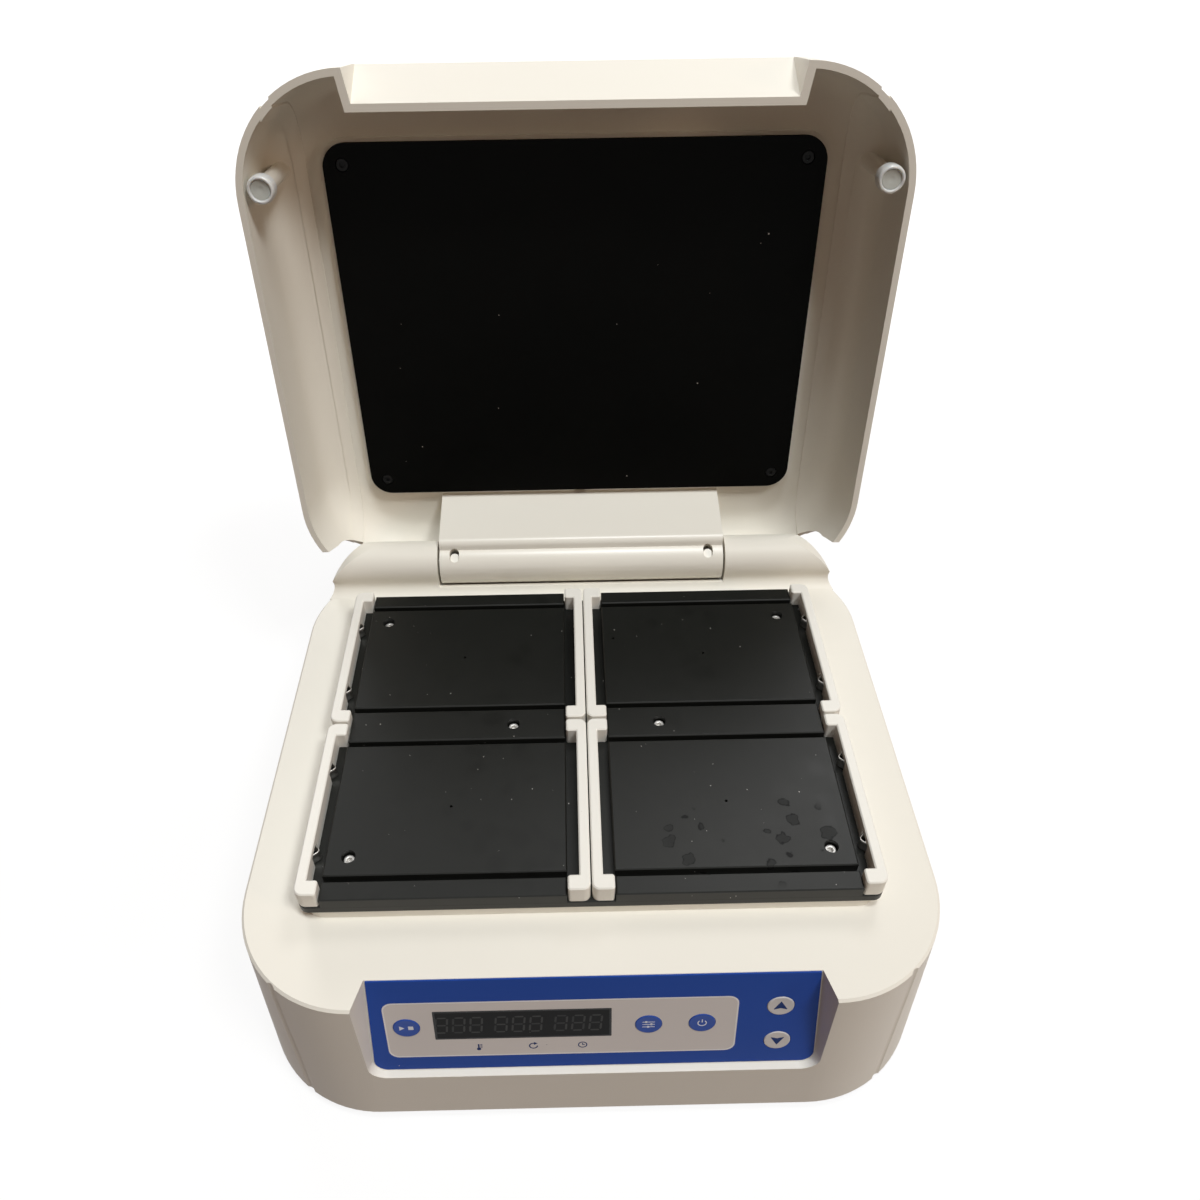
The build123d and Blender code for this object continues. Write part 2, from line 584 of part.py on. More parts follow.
def top_casing():
    """Moulded upper casing: deck, walls, ridge, recess, rim and inner posts."""
    shoulder_z = DECK_Z - DECK_EDGE_CHAMFER
    body = wall_form(0, SKIRT_Z, shoulder_z)
    body += loft([base_plan(shoulder_z), base_plan(DECK_Z, DECK_EDGE_CHAMFER)])
    body += ridge()
    low = SKIRT_Z - CASING_WALL
    for cove in base_coves():
        body -= cove
    trough_r = BARREL_R + TROUGH_CLEARANCE
    under = DECK_Z - CASING_WALL
    cavity = wall_form(CASING_WALL, low, under)
    end_x = RIDGE_NOTCH_X + CASING_WALL
    hollow = ridge(CASING_WALL) - block(-end_x, end_x, 0, 2 * HINGE_Y, 0, 2 * HINGE_Z)
    cavity += hollow
    cavity -= bar_x(2 * (trough_r + CASING_WALL), -end_x, end_x, HINGE_Y, HINGE_Z)
    cavity -= recess_tool(CASING_WALL, -CASING_WALL)
    body -= cavity
    body -= recess_tool(0, 0)
    # trough for the barrel, open to the rear
    lip_z = DECK_Z + TROUGH_LIP_RISE
    body -= bar_x(2 * trough_r, -RIDGE_NOTCH_X, RIDGE_NOTCH_X, HINGE_Y, HINGE_Z)
    body -= block(-RIDGE_NOTCH_X, RIDGE_NOTCH_X, RIDGE_FOOT_Y, 2 * HINGE_Y, lip_z, 2 * HINGE_Z)
    body -= bar_x(HINGE_PIN_D + 2 * HINGE_PIN_HOLE, -HINGE_PIN_OUTER_X, HINGE_PIN_OUTER_X,
                  HINGE_Y, HINGE_Z)
    # rim round the opening
    body += pad(OPENING_HALF_X + RIM_WALL, OPENING_HALF_Y + RIM_WALL, OPENING_CORNER_R + RIM_WALL,
                under, RIM_TOP_Z, STATION_CENTRE_Y)
    body -= pad(OPENING_HALF_X, OPENING_HALF_Y, OPENING_CORNER_R,
                under - BLEND, RIM_TOP_Z + BLEND, STATION_CENTRE_Y)
    # posts for the bottom plate
    for sx in (-1, 1):
        for x, y in POST_XY:
            body += disc(POST_D, PLATE_TOP, DECK_Z - BLEND, sx * x, y)
            body -= disc(CASE_SCREW_D + 2 * RUNNING_FIT, PLATE_TOP, PLATE_TOP + CASE_SCREW_REACH,
                         sx * x, y)
    # display window, key holes and board posts behind the recess
    window = Box(DISPLAY_SIZE[0] + 2 * KEY_CLEARANCE, DISPLAY_SIZE[1] + 2 * KEY_CLEARANCE,
                 3 * CASING_WALL)
    body -= on_panel(window, DISPLAY_CENTRE)
    for centre in KEY_CENTRES.values():
        body -= on_panel(Cylinder(KEY_D / 2 + KEY_CLEARANCE, 3 * CASING_WALL), centre)
    for centre, size in ((DISPLAY_CENTRE, DISPLAY_BOARD),) + KEY_BOARDS:
        for at in board_posts(centre, size):
            body += on_panel(disc(BOARD_POST_D, -CASING_WALL - BOARD_STANDOFF,
                                  BLEND - CASING_WALL), at)
    # rear wall: fan slots, fan screws, inlet
    fan = rear_at(FAN_X, FAN_Z)
    for i in range(SLOT_COUNT):
        v = (i - (SLOT_COUNT - 1) / 2) * SLOT_PITCH
        half = math.sqrt(VENT_R ** 2 - v ** 2)
        slot = Pos(0, v, -CASING_WALL - BLEND) * SlotOverall(2 * half, SLOT_HEIGHT)
        body -= fan * extrude(slot, CASING_WALL + 2 * BLEND)
    cut = Box(INLET_BODY[0] + 2 * INLET_CUT_GAP, INLET_BODY[1] + 2 * INLET_CUT_GAP, 3 * CASING_WALL)
    body -= rear_at(INLET_X, INLET_Z) * cut
    return body


def bottom_plate():
    """Sheet metal base with standoffs for what stands on it."""
    z1 = PLATE_TOP
    inset = CASING_WALL + PLATE_GAP
    plate = extrude(base_plan(PLATE_Z, inset), PLATE_THICK, dir=(0, 0, 1))
    for sx in (-1, 1):
        for x, y in POST_XY:
            plate -= disc(CASE_SCREW_D + 2 * HOLE_CLEARANCE, PLATE_Z, z1, sx * x, y)
        for sy in (-1, 1):
            plate -= disc(CASE_SCREW_D + 2 * HOLE_CLEARANCE, PLATE_Z, z1, sx * FOOT_XY[0],
                          sy * FOOT_XY[1])
    for centre, size in ((MAIN_BOARD_CENTRE, MAIN_BOARD_SIZE), (SUPPLY_CENTRE, SUPPLY_SIZE)):
        for x, y in board_posts(centre, size):
            plate += disc(STANDOFF_D, z1 - PLATE_THICK / 2, z1 + STANDOFF, x, y)
    return plate


def feet():
    """Four moulded rubber feet with a recess for the screw."""
    r = FOOT_D / 2
    foot = Pos(0, 0, PLATE_Z / 2) * Cone(r - FOOT_TAPER, r, PLATE_Z)
    foot -= disc(FOOT_RECESS_D, 0, FOOT_RECESS)
    foot -= disc(CASE_SCREW_D + 2 * HOLE_CLEARANCE, FOOT_RECESS, PLATE_Z)
    return [Pos(sx * FOOT_XY[0], sy * FOOT_XY[1], 0) * foot for sx in (-1, 1) for sy in (-1, 1)]


def cap_screw(shank_d, shank, head_d, head, socket, flats=6):
    """Screw along Z with the underside of its head at z = 0 and a hex socket on top."""
    screw = disc(shank_d, -shank, BLEND) + disc(head_d, 0, head)
    key = Pos(0, 0, head - head * SOCKET_SHARE) * RegularPolygon(socket / 2, flats, major_radius=True)
    return screw - extrude(key, head)


def case_screws():
    """Screws of the bottom plate and the feet, heads down."""
    screw = Rot(180, 0, 0) * cap_screw(CASE_SCREW_D, CASE_SCREW_REACH, CASE_SCREW_HEAD_D,
                                       CASE_SCREW_HEAD, CASE_SCREW_D)
    short = Rot(180, 0, 0) * cap_screw(CASE_SCREW_D, PLATE_TOP - FOOT_RECESS, CASE_SCREW_HEAD_D,
                                       CASE_SCREW_HEAD, CASE_SCREW_D)
    out = [Pos(sx * x, y, PLATE_Z) * screw for sx in (-1, 1) for x, y in POST_XY]
    out += [Pos(sx * FOOT_XY[0], sy * FOOT_XY[1], FOOT_RECESS) * short
            for sx in (-1, 1) for sy in (-1, 1)]
    return out


# ---------------------------------------------------------- control panel
def key_cuts(solid, clearance):
    """Take the display and key openings out of a piece on the panel."""
    for centre in KEY_CENTRES.values():
        solid -= on_panel(Cylinder(KEY_D / 2 + clearance, 3 * CASING_WALL), centre)
    return solid - on_panel(Box(DISPLAY_SIZE[0], DISPLAY_SIZE[1], 3 * CASING_WALL), DISPLAY_CENTRE)


def control_panel():
    """Panel overlay in the recess with a pocket for the inlay."""
    face = recess_outline(-PANEL_GAP, -PANEL_TOP_GAP)
    sheet = panel_plane().location * extrude(face, PANEL_THICK)
    pocket = extrude(Pos(0, 0, PANEL_THICK - FIELD_THICK)
                     * RectangleRounded(*FIELD_SIZE, FIELD_CORNER_R), PANEL_THICK)
    sheet -= on_panel(pocket, FIELD_CENTRE)
    return key_cuts(sheet, KEY_CLEARANCE)


def silver_field():
    """Light inlay that carries the display and three keys."""
    field = extrude(Pos(0, 0, PANEL_THICK - FIELD_THICK)
                    * RectangleRounded(*FIELD_SIZE, FIELD_CORNER_R), FIELD_THICK)
    return key_cuts(on_panel(field, FIELD_CENTRE), KEY_CLEARANCE)


def display_window():
    """Tinted window flush with the inlay."""
    return on_panel(Pos(0, 0, PANEL_THICK / 2) * Box(*DISPLAY_SIZE, PANEL_THICK), DISPLAY_CENTRE)


def display_module():
    """Display block on its board, reaching through the casing to the window."""
    z0 = -CASING_WALL - BOARD_STANDOFF
    glass = block(-DISPLAY_SIZE[0] / 2, DISPLAY_SIZE[0] / 2, -DISPLAY_SIZE[1] / 2,
                  DISPLAY_SIZE[1] / 2, z0, 0)
    board = Pos(0, 0, z0 - BOARD_THICK / 2) * Box(*DISPLAY_BOARD, BOARD_THICK)
    return on_panel(glass + board, DISPLAY_CENTRE)


def keypad_board():
    """Two boards with a push switch under each key."""
    z0 = -CASING_WALL - BOARD_STANDOFF
    top = -CASING_WALL - KEY_FLANGE_GAP - KEY_FLANGE_THICK - KEY_TRAVEL - SWITCH_REST_GAP
    out = []
    for centre, size in KEY_BOARDS:
        board = on_panel(Pos(0, 0, z0 - BOARD_THICK / 2) * Box(*size, BOARD_THICK), centre)
        for at in KEY_CENTRES.values():
            if abs(at[0] - centre[0]) < size[0] / 2:
                s = SWITCH_SIZE / 2
                board += on_panel(block(-s, s, -s, s, z0, top), at)
        out.append(board)
    return out


def panel_key(name):
    """Round key: dished head, and a flange that keeps it behind the wall."""
    top = PANEL_THICK + KEY_PROUD
    low = -CASING_WALL - KEY_FLANGE_GAP
    key = disc(KEY_D, low - KEY_FLANGE_THICK, top)
    key += disc(KEY_FLANGE_D, low - KEY_FLANGE_THICK, low)
    dish_r = (KEY_D / 2) ** 2 / (2 * KEY_DISH)
    key = chamfer(key.edges().group_by(Axis.Z)[-1], KEY_DISH)
    key -= Pos(0, 0, top + dish_r - KEY_DISH) * Sphere(dish_r) & disc(
        KEY_D * KEY_DISH_SHARE, 0, 2 * top)
    return on_panel(key, KEY_CENTRES[name])


# ------------------------------------------------------ boards and supply
def main_board():
    """Controller board with its larger components."""
    cx, cy = MAIN_BOARD_CENTRE
    z0 = PLATE_TOP + STANDOFF
    z1 = z0 + BOARD_THICK
    half_x, half_y = MAIN_BOARD_SIZE[0] / 2, MAIN_BOARD_SIZE[1] / 2
    board = block(cx - half_x, cx + half_x, cy - half_y, cy + half_y, z0, z1)
    for dx, dy in CAPACITORS:
        board += disc(CAPACITOR[0], z1, z1 + CAPACITOR[1], cx + dx, cy + dy)
    for (dx, dy), (sx, sy), height in BOARD_PARTS:
        board += Pos(cx + dx, cy + dy, z1 + height / 2) * Box(sx, sy, height)
    return board


def power_supply():
    """Enclosed supply with a folded vented cover."""
    sx, sy, sz = SUPPLY_SIZE
    z0 = PLATE_TOP + STANDOFF
    box = Pos(SUPPLY_CENTRE[0], SUPPLY_CENTRE[1], z0 + sz / 2) * Box(sx, sy, sz)
    slot = Box(sx * SUPPLY_SLOT_SHARE, SUPPLY_SLOT, SUPPLY_SLOT)
    for i in range(SUPPLY_SLOTS):
        y = SUPPLY_CENTRE[1] + (i - (SUPPLY_SLOTS - 1) / 2) * SUPPLY_SLOT_PITCH
        box -= Pos(SUPPLY_CENTRE[0], y, z0 + sz) * slot
    return box


# ---------------------------------------------------------------- rear wall
def fan_frame():
    """Square fan housing behind the slots, with struts and a stator."""
    z1 = -CASING_WALL
    z0 = z1 - FAN_DEPTH
    face = RectangleRounded(FAN_SIZE, FAN_SIZE, FAN_CORNER_R)
    frame = extrude(Pos(0, 0, z0) * face, FAN_DEPTH)
    frame -= disc(FAN_BORE, z0 - BLEND, z1 + BLEND)
    for sx in (-1, 1):
        for sy in (-1, 1):
            frame -= disc(FAN_SCREW_D, z0 - BLEND, z1 + BLEND, sx * FAN_SCREW_AT,
                          sy * FAN_SCREW_AT)
    stator = disc(FAN_HUB_D, z0, z0 + FAN_STATOR)
    for i in range(4):
        arm = block(0, FAN_BORE / 2 + BLEND, -FAN_STRUT / 2, FAN_STRUT / 2, z0, z0 + FAN_STATOR)
        stator += Rot(0, 0, 45 + 90 * i) * arm
    frame += stator
    frame -= disc(FAN_SHAFT_D + 2 * RUNNING_FIT, z0 - BLEND, z0 + FAN_STATOR + BLEND)
    return rear_at(FAN_X, FAN_Z) * frame


def fan_rotor():
    """Fan rotor: hub with pitched blades and its shaft."""
    z0 = -CASING_WALL - FAN_DEPTH + FAN_STATOR + FAN_GAP[0]
    z1 = -CASING_WALL - FAN_GAP[1]
    rotor = disc(FAN_HUB_D, z0, z1) + disc(FAN_SHAFT_D, z0 - FAN_STATOR, z0 + BLEND)
    tip = FAN_BORE / 2 - FAN_TIP_GAP
    chord = (z1 - z0) / math.sin(math.radians(FAN_PITCH)) * FAN_CHORD_SHARE
    root = FAN_HUB_D / 2 - FAN_BLADE_ROOT
    blade = Pos((tip + root) / 2, 0, (z0 + z1) / 2) * Rot(FAN_PITCH, 0, 0) \
        * Box(tip - root, chord, FAN_BLADE_THICK)
    blade &= disc(2 * tip, z0, z1)
    for i in range(FAN_BLADES):
        rotor += Rot(0, 0, i * 360 / FAN_BLADES) * blade
    return rear_at(FAN_X, FAN_Z) * rotor


def power_inlet():
    """Mains inlet module with the frame of the rocker switch."""
    fx, fy, ft = INLET_FLANGE
    bx, by, bt = INLET_BODY
    body = extrude(RectangleRounded(fx, fy, INLET_CORNER_R), ft)
    body += Pos(0, 0, -bt / 2 + BLEND / 2) * Box(bx, by, bt + BLEND)
    w, h, d = SOCKET_SIZE
    outline = make_face(Polyline(
        (-w / 2, -h / 2), (w / 2, -h / 2), (w / 2, h / 2 - SOCKET_CORNER),
        (w / 2 - SOCKET_CORNER, h / 2), (-w / 2 + SOCKET_CORNER, h / 2),
        (-w / 2, h / 2 - SOCKET_CORNER), close=True))
    floor = ft - d
    body -= Pos(0, SOCKET_V, floor) * extrude(outline, d + BLEND)
    ex, ey, length = BLADE_SIZE
    for x, y in BLADES:
        body += Pos(x, SOCKET_V + y, floor + length / 2 - BLEND / 2) * Box(ex, ey, length + BLEND)
    rw, rh = ROCKER_SIZE
    well = Box(rw + 2 * ROCKER_GAP, rh + 2 * ROCKER_SWING_GAP, 2 * (ROCKER_DEPTH + ROCKER_FLOOR))
    body -= Pos(0, ROCKER_V, 0) * well
    axle = ROCKER_AXLE_D + 2 * RUNNING_FIT
    reach = rw / 2 + ROCKER_GAP + ROCKER_AXLE
    body -= bar_x(axle, -reach, reach, ROCKER_V, ROCKER_PIVOT)
    return rear_at(INLET_X, INLET_Z) * body


def switch_rocker():
    """Rocker of the power switch with its axle stubs, in the off position."""
    rw, rh = ROCKER_SIZE
    top = ROCKER_PROUD - ROCKER_PIVOT
    low = ROCKER_DEPTH + ROCKER_PIVOT
    side = make_face([
        Polyline((rh / 2, top), (rh / 2, -low), (-rh / 2, -low), (-rh / 2, top)),
        ThreePointArc((-rh / 2, top), (0, top - ROCKER_HOLLOW), (rh / 2, top)),
    ])
    rocker = extrude(Plane.YZ.offset(-rw / 2) * side, rw)
    reach = rw / 2 + ROCKER_GAP + ROCKER_AXLE - 2 * RUNNING_FIT
    rocker += bar_x(ROCKER_AXLE_D, -reach, reach, 0, 0)
    place = rear_at(INLET_X, INLET_Z) * Pos(0, ROCKER_V, ROCKER_PIVOT)
    return place * Rot(-ROCKER_THROW / 2, 0, 0) * rocker


# ------------------------------------------------------------ orbital drive
def corners(x, y):
    """The four mirrored places of a point about the drive centre."""
    return [(sx * x, STATION_CENTRE_Y + sy * y) for sx in (-1, 1) for sy in (-1, 1)]


def drive_frame():
    """Chassis plate with the bosses of the crank and the idlers."""
    plate = pad(CHASSIS_HALF_X, CHASSIS_HALF_Y, CHASSIS_CORNER_R, CHASSIS_Z, CHASSIS_TOP,
                STATION_CENTRE_Y)
    y = STATION_CENTRE_Y
    boss_low = CRANK_SEAT_Z - CRANK_BOSS_LIP
    plate += disc(CRANK_BOSS_D, boss_low, CHASSIS_TOP, CRANK_X, y)
    plate -= disc(CRANK_BEARING_D, CRANK_SEAT_Z, CHASSIS_TOP, CRANK_X, y)
    plate -= disc(CRANK_BEARING_D - 2 * BEARING_LIP, boss_low, CRANK_SEAT_Z, CRANK_X, y)
    for x, yy in corners(IDLER_X, IDLER_Y):
        low = CHASSIS_TOP - AXIAL_PLAY - IDLER_BEARING_WIDTH
        plate += disc(IDLER_BOSS_D, low - CRANK_BOSS_LIP, CHASSIS_TOP, x - ORBIT_R, yy)
        plate -= disc(IDLER_BEARING_D, low, CHASSIS_TOP, x - ORBIT_R, yy)
        plate -= disc(IDLER_BEARING_D - 2 * BEARING_LIP, low - CRANK_BOSS_LIP, low,
                      x - ORBIT_R, yy)
    plate -= disc(MOTOR_BOSS_D, CHASSIS_Z, CHASSIS_TOP, MOTOR_X, y)
    # lightening windows front and rear
    for sy in (-1, 1):
        window = Pos(CHASSIS_WINDOW_AT[0], y + sy * CHASSIS_WINDOW_AT[1], CHASSIS_Z) \
            * RectangleRounded(*CHASSIS_WINDOW)
        plate -= extrude(window, CHASSIS_THICK)
    return plate


def frame_columns():
    """Four columns from the bottom plate to the chassis plate."""
    return [disc(COLUMN_D, PLATE_TOP, CHASSIS_Z, x, y) for x, y in corners(COLUMN_X, COLUMN_Y)]


def drive_motor():
    """Motor can under the chassis plate with its locating boss."""
    y = STATION_CENTRE_Y
    can = disc(MOTOR_D, CHASSIS_Z - MOTOR_LENGTH, CHASSIS_Z, MOTOR_X, y)
    can = chamfer(can.edges().group_by(Axis.Z)[0], MOTOR_EDGE)
    top = CHASSIS_Z + MOTOR_BOSS_RISE
    can += disc(MOTOR_BOSS_D, CHASSIS_Z - BLEND, top, MOTOR_X, y)
    return can - disc(MOTOR_SHAFT_D + 2 * RUNNING_FIT, top - MOTOR_SHAFT_DEPTH, top, MOTOR_X, y)


def flanged_pulley(radius, bore):
    """Pulley with two flanges, standing on z = 0."""
    pulley = disc(2 * radius, 0, PULLEY_HEIGHT)
    for z in (0, PULLEY_HEIGHT - PULLEY_FLANGE):
        pulley += disc(2 * (radius + PULLEY_FLANGE_RISE), z, z + PULLEY_FLANGE)
    return pulley - disc(bore, 0, PULLEY_HEIGHT) if bore else pulley


def motor_pulley():
    """Driving pulley with the motor shaft."""
    y = STATION_CENTRE_Y
    low = CHASSIS_Z + MOTOR_BOSS_RISE - MOTOR_SHAFT_DEPTH + AXIAL_PLAY
    shaft = disc(MOTOR_SHAFT_D, low, PULLEY_Z + PULLEY_HEIGHT + MOTOR_SHAFT_PROUD, MOTOR_X, y)
    return shaft + Pos(MOTOR_X, y, PULLEY_Z) * flanged_pulley(MOTOR_PULLEY_R, 0)


def crank_pulley():
    """Driven pulley with lightening holes."""
    pulley = flanged_pulley(CRANK_PULLEY_R, CRANK_D)
    for i in range(CRANK_PULLEY_HOLES):
        at = Rot(0, 0, i * 360 / CRANK_PULLEY_HOLES) * Pos(CRANK_PULLEY_HOLE_RING, 0, 0)
        pulley -= at * disc(CRANK_PULLEY_HOLE_D, 0, PULLEY_HEIGHT)
    return Pos(CRANK_X, STATION_CENTRE_Y, PULLEY_Z) * pulley


def drive_belt():
    """Flat belt round both pulleys, a hair clear of them."""
    def loop(extra):
        big = Pos(CRANK_X, STATION_CENTRE_Y) * Circle(CRANK_PULLEY_R + BELT_GAP + extra)
        small = Pos(MOTOR_X, STATION_CENTRE_Y) * Circle(MOTOR_PULLEY_R + BELT_GAP + extra)
        return make_hull([big.edge(), small.edge()])
    z0 = PULLEY_Z + PULLEY_FLANGE + BELT_GAP
    height = PULLEY_HEIGHT - 2 * (PULLEY_FLANGE + BELT_GAP)
    band = extrude(Pos(0, 0, z0) * loop(BELT_THICK), height, dir=(0, 0, 1))
    return band - extrude(Pos(0, 0, z0) * loop(0), height, dir=(0, 0, 1))


def crank_shaft():
    """Main shaft with shoulder, crank disc and the eccentric pin."""
    y = STATION_CENTRE_Y
    disc_top = COUNTERWEIGHT_TOP + CRANK_DISC_THICK
    shaft = disc(CRANK_D, CRANK_SEAT_Z - CRANK_TAIL, COUNTERWEIGHT_TOP, CRANK_X, y)
    shaft += disc(CRANK_SHOULDER_D, CHASSIS_TOP, PULLEY_Z, CRANK_X, y)
    shaft += disc(CRANK_DISC_D, COUNTERWEIGHT_TOP, disc_top, CRANK_X, y)
    shaft += disc(PIN_D + 2 * PIN_COLLAR, disc_top, PLATFORM_Z - AXIAL_PLAY, 0, y)
    return shaft + disc(PIN_D, PLATFORM_Z - AXIAL_PLAY, PLATFORM_Z + PIN_BEARING_WIDTH, 0, y)


def counterweight():
    """Balance sector opposite the eccentric pin."""
    sector = Circle(COUNTERWEIGHT_R) & Pos(-COUNTERWEIGHT_R / 2, 0) * Rectangle(
        COUNTERWEIGHT_R, 2 * COUNTERWEIGHT_R)
    body = extrude(sector + Circle(COUNTERWEIGHT_HUB_D / 2), COUNTERWEIGHT_THICK)
    body = Pos(0, 0, COUNTERWEIGHT_SPACER) * body
    body += disc(CRANK_SHOULDER_D, 0, COUNTERWEIGHT_SPACER + BLEND)
    body -= disc(CRANK_D, 0, COUNTERWEIGHT_SPACER + COUNTERWEIGHT_THICK)
    return Pos(CRANK_X, STATION_CENTRE_Y, PULLEY_Z + PULLEY_HEIGHT) * body


def bearing(outer, bore, width, x, y, z):
    """Closed ball bearing, standing on z."""
    ring = disc(outer, z, z + width, x, y) - disc(bore + 2 * RUNNING_FIT, z, z + width, x, y)
    return ring


def crank_bearings():
    """Two bearings in the chassis boss."""
    return [bearing(CRANK_BEARING_D, CRANK_D, CRANK_BEARING_WIDTH, CRANK_X, STATION_CENTRE_Y,
                    CRANK_SEAT_Z + i * CRANK_BEARING_WIDTH) for i in range(2)]


def eccentric_bearing():
    """Bearing in the platform that the eccentric pin turns in."""
    return bearing(PIN_BEARING_D, PIN_D, PIN_BEARING_WIDTH, 0, STATION_CENTRE_Y, PLATFORM_Z)


def idler_crank(sx, sy):
    """Small crank that keeps the platform level and from turning."""
    x, y = sx * IDLER_X, STATION_CENTRE_Y + sy * IDLER_Y
    low_x = x - ORBIT_R
    low = CHASSIS_TOP - AXIAL_PLAY - IDLER_BEARING_WIDTH
    crank = disc(IDLER_D, low, CHASSIS_TOP + BLEND, low_x, y)
    crank += disc(IDLER_WEB_D, CHASSIS_TOP, CHASSIS_TOP + IDLER_WEB, low_x, y)
    crank += disc(IDLER_STEM_D, CHASSIS_TOP + IDLER_WEB, PLATFORM_Z - AXIAL_PLAY, x, y)
    return crank + disc(IDLER_TOP_D, PLATFORM_Z - AXIAL_PLAY, PLATFORM_Z + PIN_BEARING_WIDTH, x, y)


def idler_bearings_lower():
    """Bearings of the idlers in the chassis plate."""
    low = CHASSIS_TOP - AXIAL_PLAY - IDLER_BEARING_WIDTH
    return [bearing(IDLER_BEARING_D, IDLER_D, IDLER_BEARING_WIDTH, x - ORBIT_R, y, low)
            for x, y in corners(IDLER_X, IDLER_Y)]


def idler_bearings_upper():
    """Bearings of the idlers in the platform."""
    return [bearing(IDLER_TOP_BEARING_D, IDLER_TOP_D, PIN_BEARING_WIDTH, x, y, PLATFORM_Z)
            for x, y in corners(IDLER_X, IDLER_Y)]


# --------------------------------------------------------- platform stack
def station_centre(sx, sy):
    """Centre of a nest."""
    return sx * STATION_X, STATION_CENTRE_Y + sy * STATION_DY


def block_screw_places():
    """Centres of the six screws that hold the block down."""
    dx = PLATEAU_HALF[0] - SCREW_INSET[0]
    dy = PLATEAU_HALF[1] - SCREW_INSET[1]
    out = []
    for sx, sy in STATIONS.values():
        cx, cy = station_centre(sx, sy)
        out.append((cx + sx * dx, cy + sy * dy))
    return out + [(s * MIDDLE_SCREW_X, STATION_CENTRE_Y) for s in (-1, 1)]


def screw_holes(solid, z0, z1):
    """Drill the block screw holes through a layer."""
    for x, y in block_screw_places():
        solid -= disc(BLOCK_SCREW_D + 2 * HOLE_CLEARANCE, z0, z1, x, y)
    return solid


def platform_plate():
    """Aluminium plate that the drive moves in a small circle."""
    z1 = PAD_Z
    plate = pad(PLATFORM_HALF_X, PLATFORM_HALF_Y, PLATFORM_CORNER_R, PLATFORM_Z, z1,
                STATION_CENTRE_Y)
    seat = PLATFORM_Z + PIN_BEARING_WIDTH
    plate -= disc(PIN_BEARING_D, PLATFORM_Z, seat, 0, STATION_CENTRE_Y)
    for x, y in corners(IDLER_X, IDLER_Y):
        plate -= disc(IDLER_TOP_BEARING_D, PLATFORM_Z, seat, x, y)
    return screw_holes(plate, PLATFORM_Z, z1)


def insulation_pad():
    """Insulation between the heated block and the platform."""
    layer = pad(BLOCK_HALF_X - PAD_INSET, BLOCK_HALF_Y - PAD_INSET, BLOCK_CORNER_R, PAD_Z, HEATER_Z,
                STATION_CENTRE_Y)
    return screw_holes(layer, PAD_Z, HEATER_Z)


def heater_film():
    """Heating mat under the block."""
    layer = pad(BLOCK_HALF_X - HEATER_INSET, BLOCK_HALF_Y - HEATER_INSET, BLOCK_CORNER_R,
                HEATER_Z, BLOCK_Z, STATION_CENTRE_Y)
    return screw_holes(layer, HEATER_Z, BLOCK_Z)


def peg_places(sx, sy, outer):
    """Centres of the two pegs under a bracket's hooks."""
    cx, cy = station_centre(sx, sy)
    side = sx if outer else -sx
    x = cx + side * (NEST_X / 2 - HOOK_LENGTH / 2 + BRACKET_WALL / 2)
    return [(x, cy + s * (BRACKET_HALF_Y - HOOK_THICK / 2)) for s in (-1, 1)]


def eased(solid, edge=BLOCK_EDGE):
    """The solid with a small chamfer round its top face."""
    return chamfer(solid.edges().group_by(Axis.Z)[-1], edge)


def heating_block():
    """Machined block: ledge, four plateaus, strips between the hooks, holes."""
    body = eased(pad(BLOCK_HALF_X, BLOCK_HALF_Y, BLOCK_CORNER_R, BLOCK_Z, LEDGE_Z,
                     STATION_CENTRE_Y))
    px, py = PLATEAU_HALF
    strip_x = NEST_X / 2 - HOOK_LENGTH - STRIP_HOOK_GAP
    inner = STATION_DY - py - STRIP_GAP
    for sx, sy in STATIONS.values():
        cx, cy = station_centre(sx, sy)
        body += eased(block(cx - px, cx + px, cy - py, cy + py, LEDGE_Z - BLEND, PLATEAU_Z))
    for sx in (-1, 1):
        cx = sx * STATION_X
        body += eased(block(cx - strip_x, cx + strip_x, STATION_CENTRE_Y - inner,
                            STATION_CENTRE_Y + inner, LEDGE_Z - BLEND, PLATEAU_Z))
        for sy in (-1, 1):
            near = STATION_CENTRE_Y + sy * (STATION_DY + py + STRIP_GAP)
            far = STATION_CENTRE_Y + sy * BLOCK_HALF_Y
            body += eased(block(cx - strip_x, cx + strip_x, min(near, far), max(near, far),
                                LEDGE_Z - BLEND, PLATEAU_Z))
    body = screw_holes(body, BLOCK_Z, PLATEAU_Z)
    for x, y in block_screw_places():
        body -= disc(COUNTERBORE_D, PLATEAU_Z - COUNTERBORE_DEPTH, PLATEAU_Z, x, y)
    for x, y in WELLS:
        body -= disc(WELL_D, PLATEAU_Z - WELL_DEPTH, PLATEAU_Z, x, y)
    for outer in (True, False):
        for sx, sy in STATIONS.values():
            for x, y in peg_places(sx, sy, outer):
                body -= disc(PEG_D + 2 * PEG_CLEARANCE, LEDGE_Z - PEG_LENGTH, LEDGE_Z, x, y)
    return body - disc(SENSOR_D + 2 * RUNNING_FIT, BLOCK_Z, BLOCK_Z + SENSOR_DEPTH, SENSOR_X,
                       STATION_CENTRE_Y)


def block_screws():
    """Six socket screws through block, heater and pad into the platform."""
    seat = PLATEAU_Z - COUNTERBORE_DEPTH
    screw = cap_screw(BLOCK_SCREW_D, seat - PLATFORM_Z - BLOCK_SCREW_SHORT, BLOCK_SCREW_HEAD_D,
                      BLOCK_SCREW_HEAD, BLOCK_SCREW_HEX)
    return [Pos(x, y, seat) * screw for x, y in block_screw_places()]


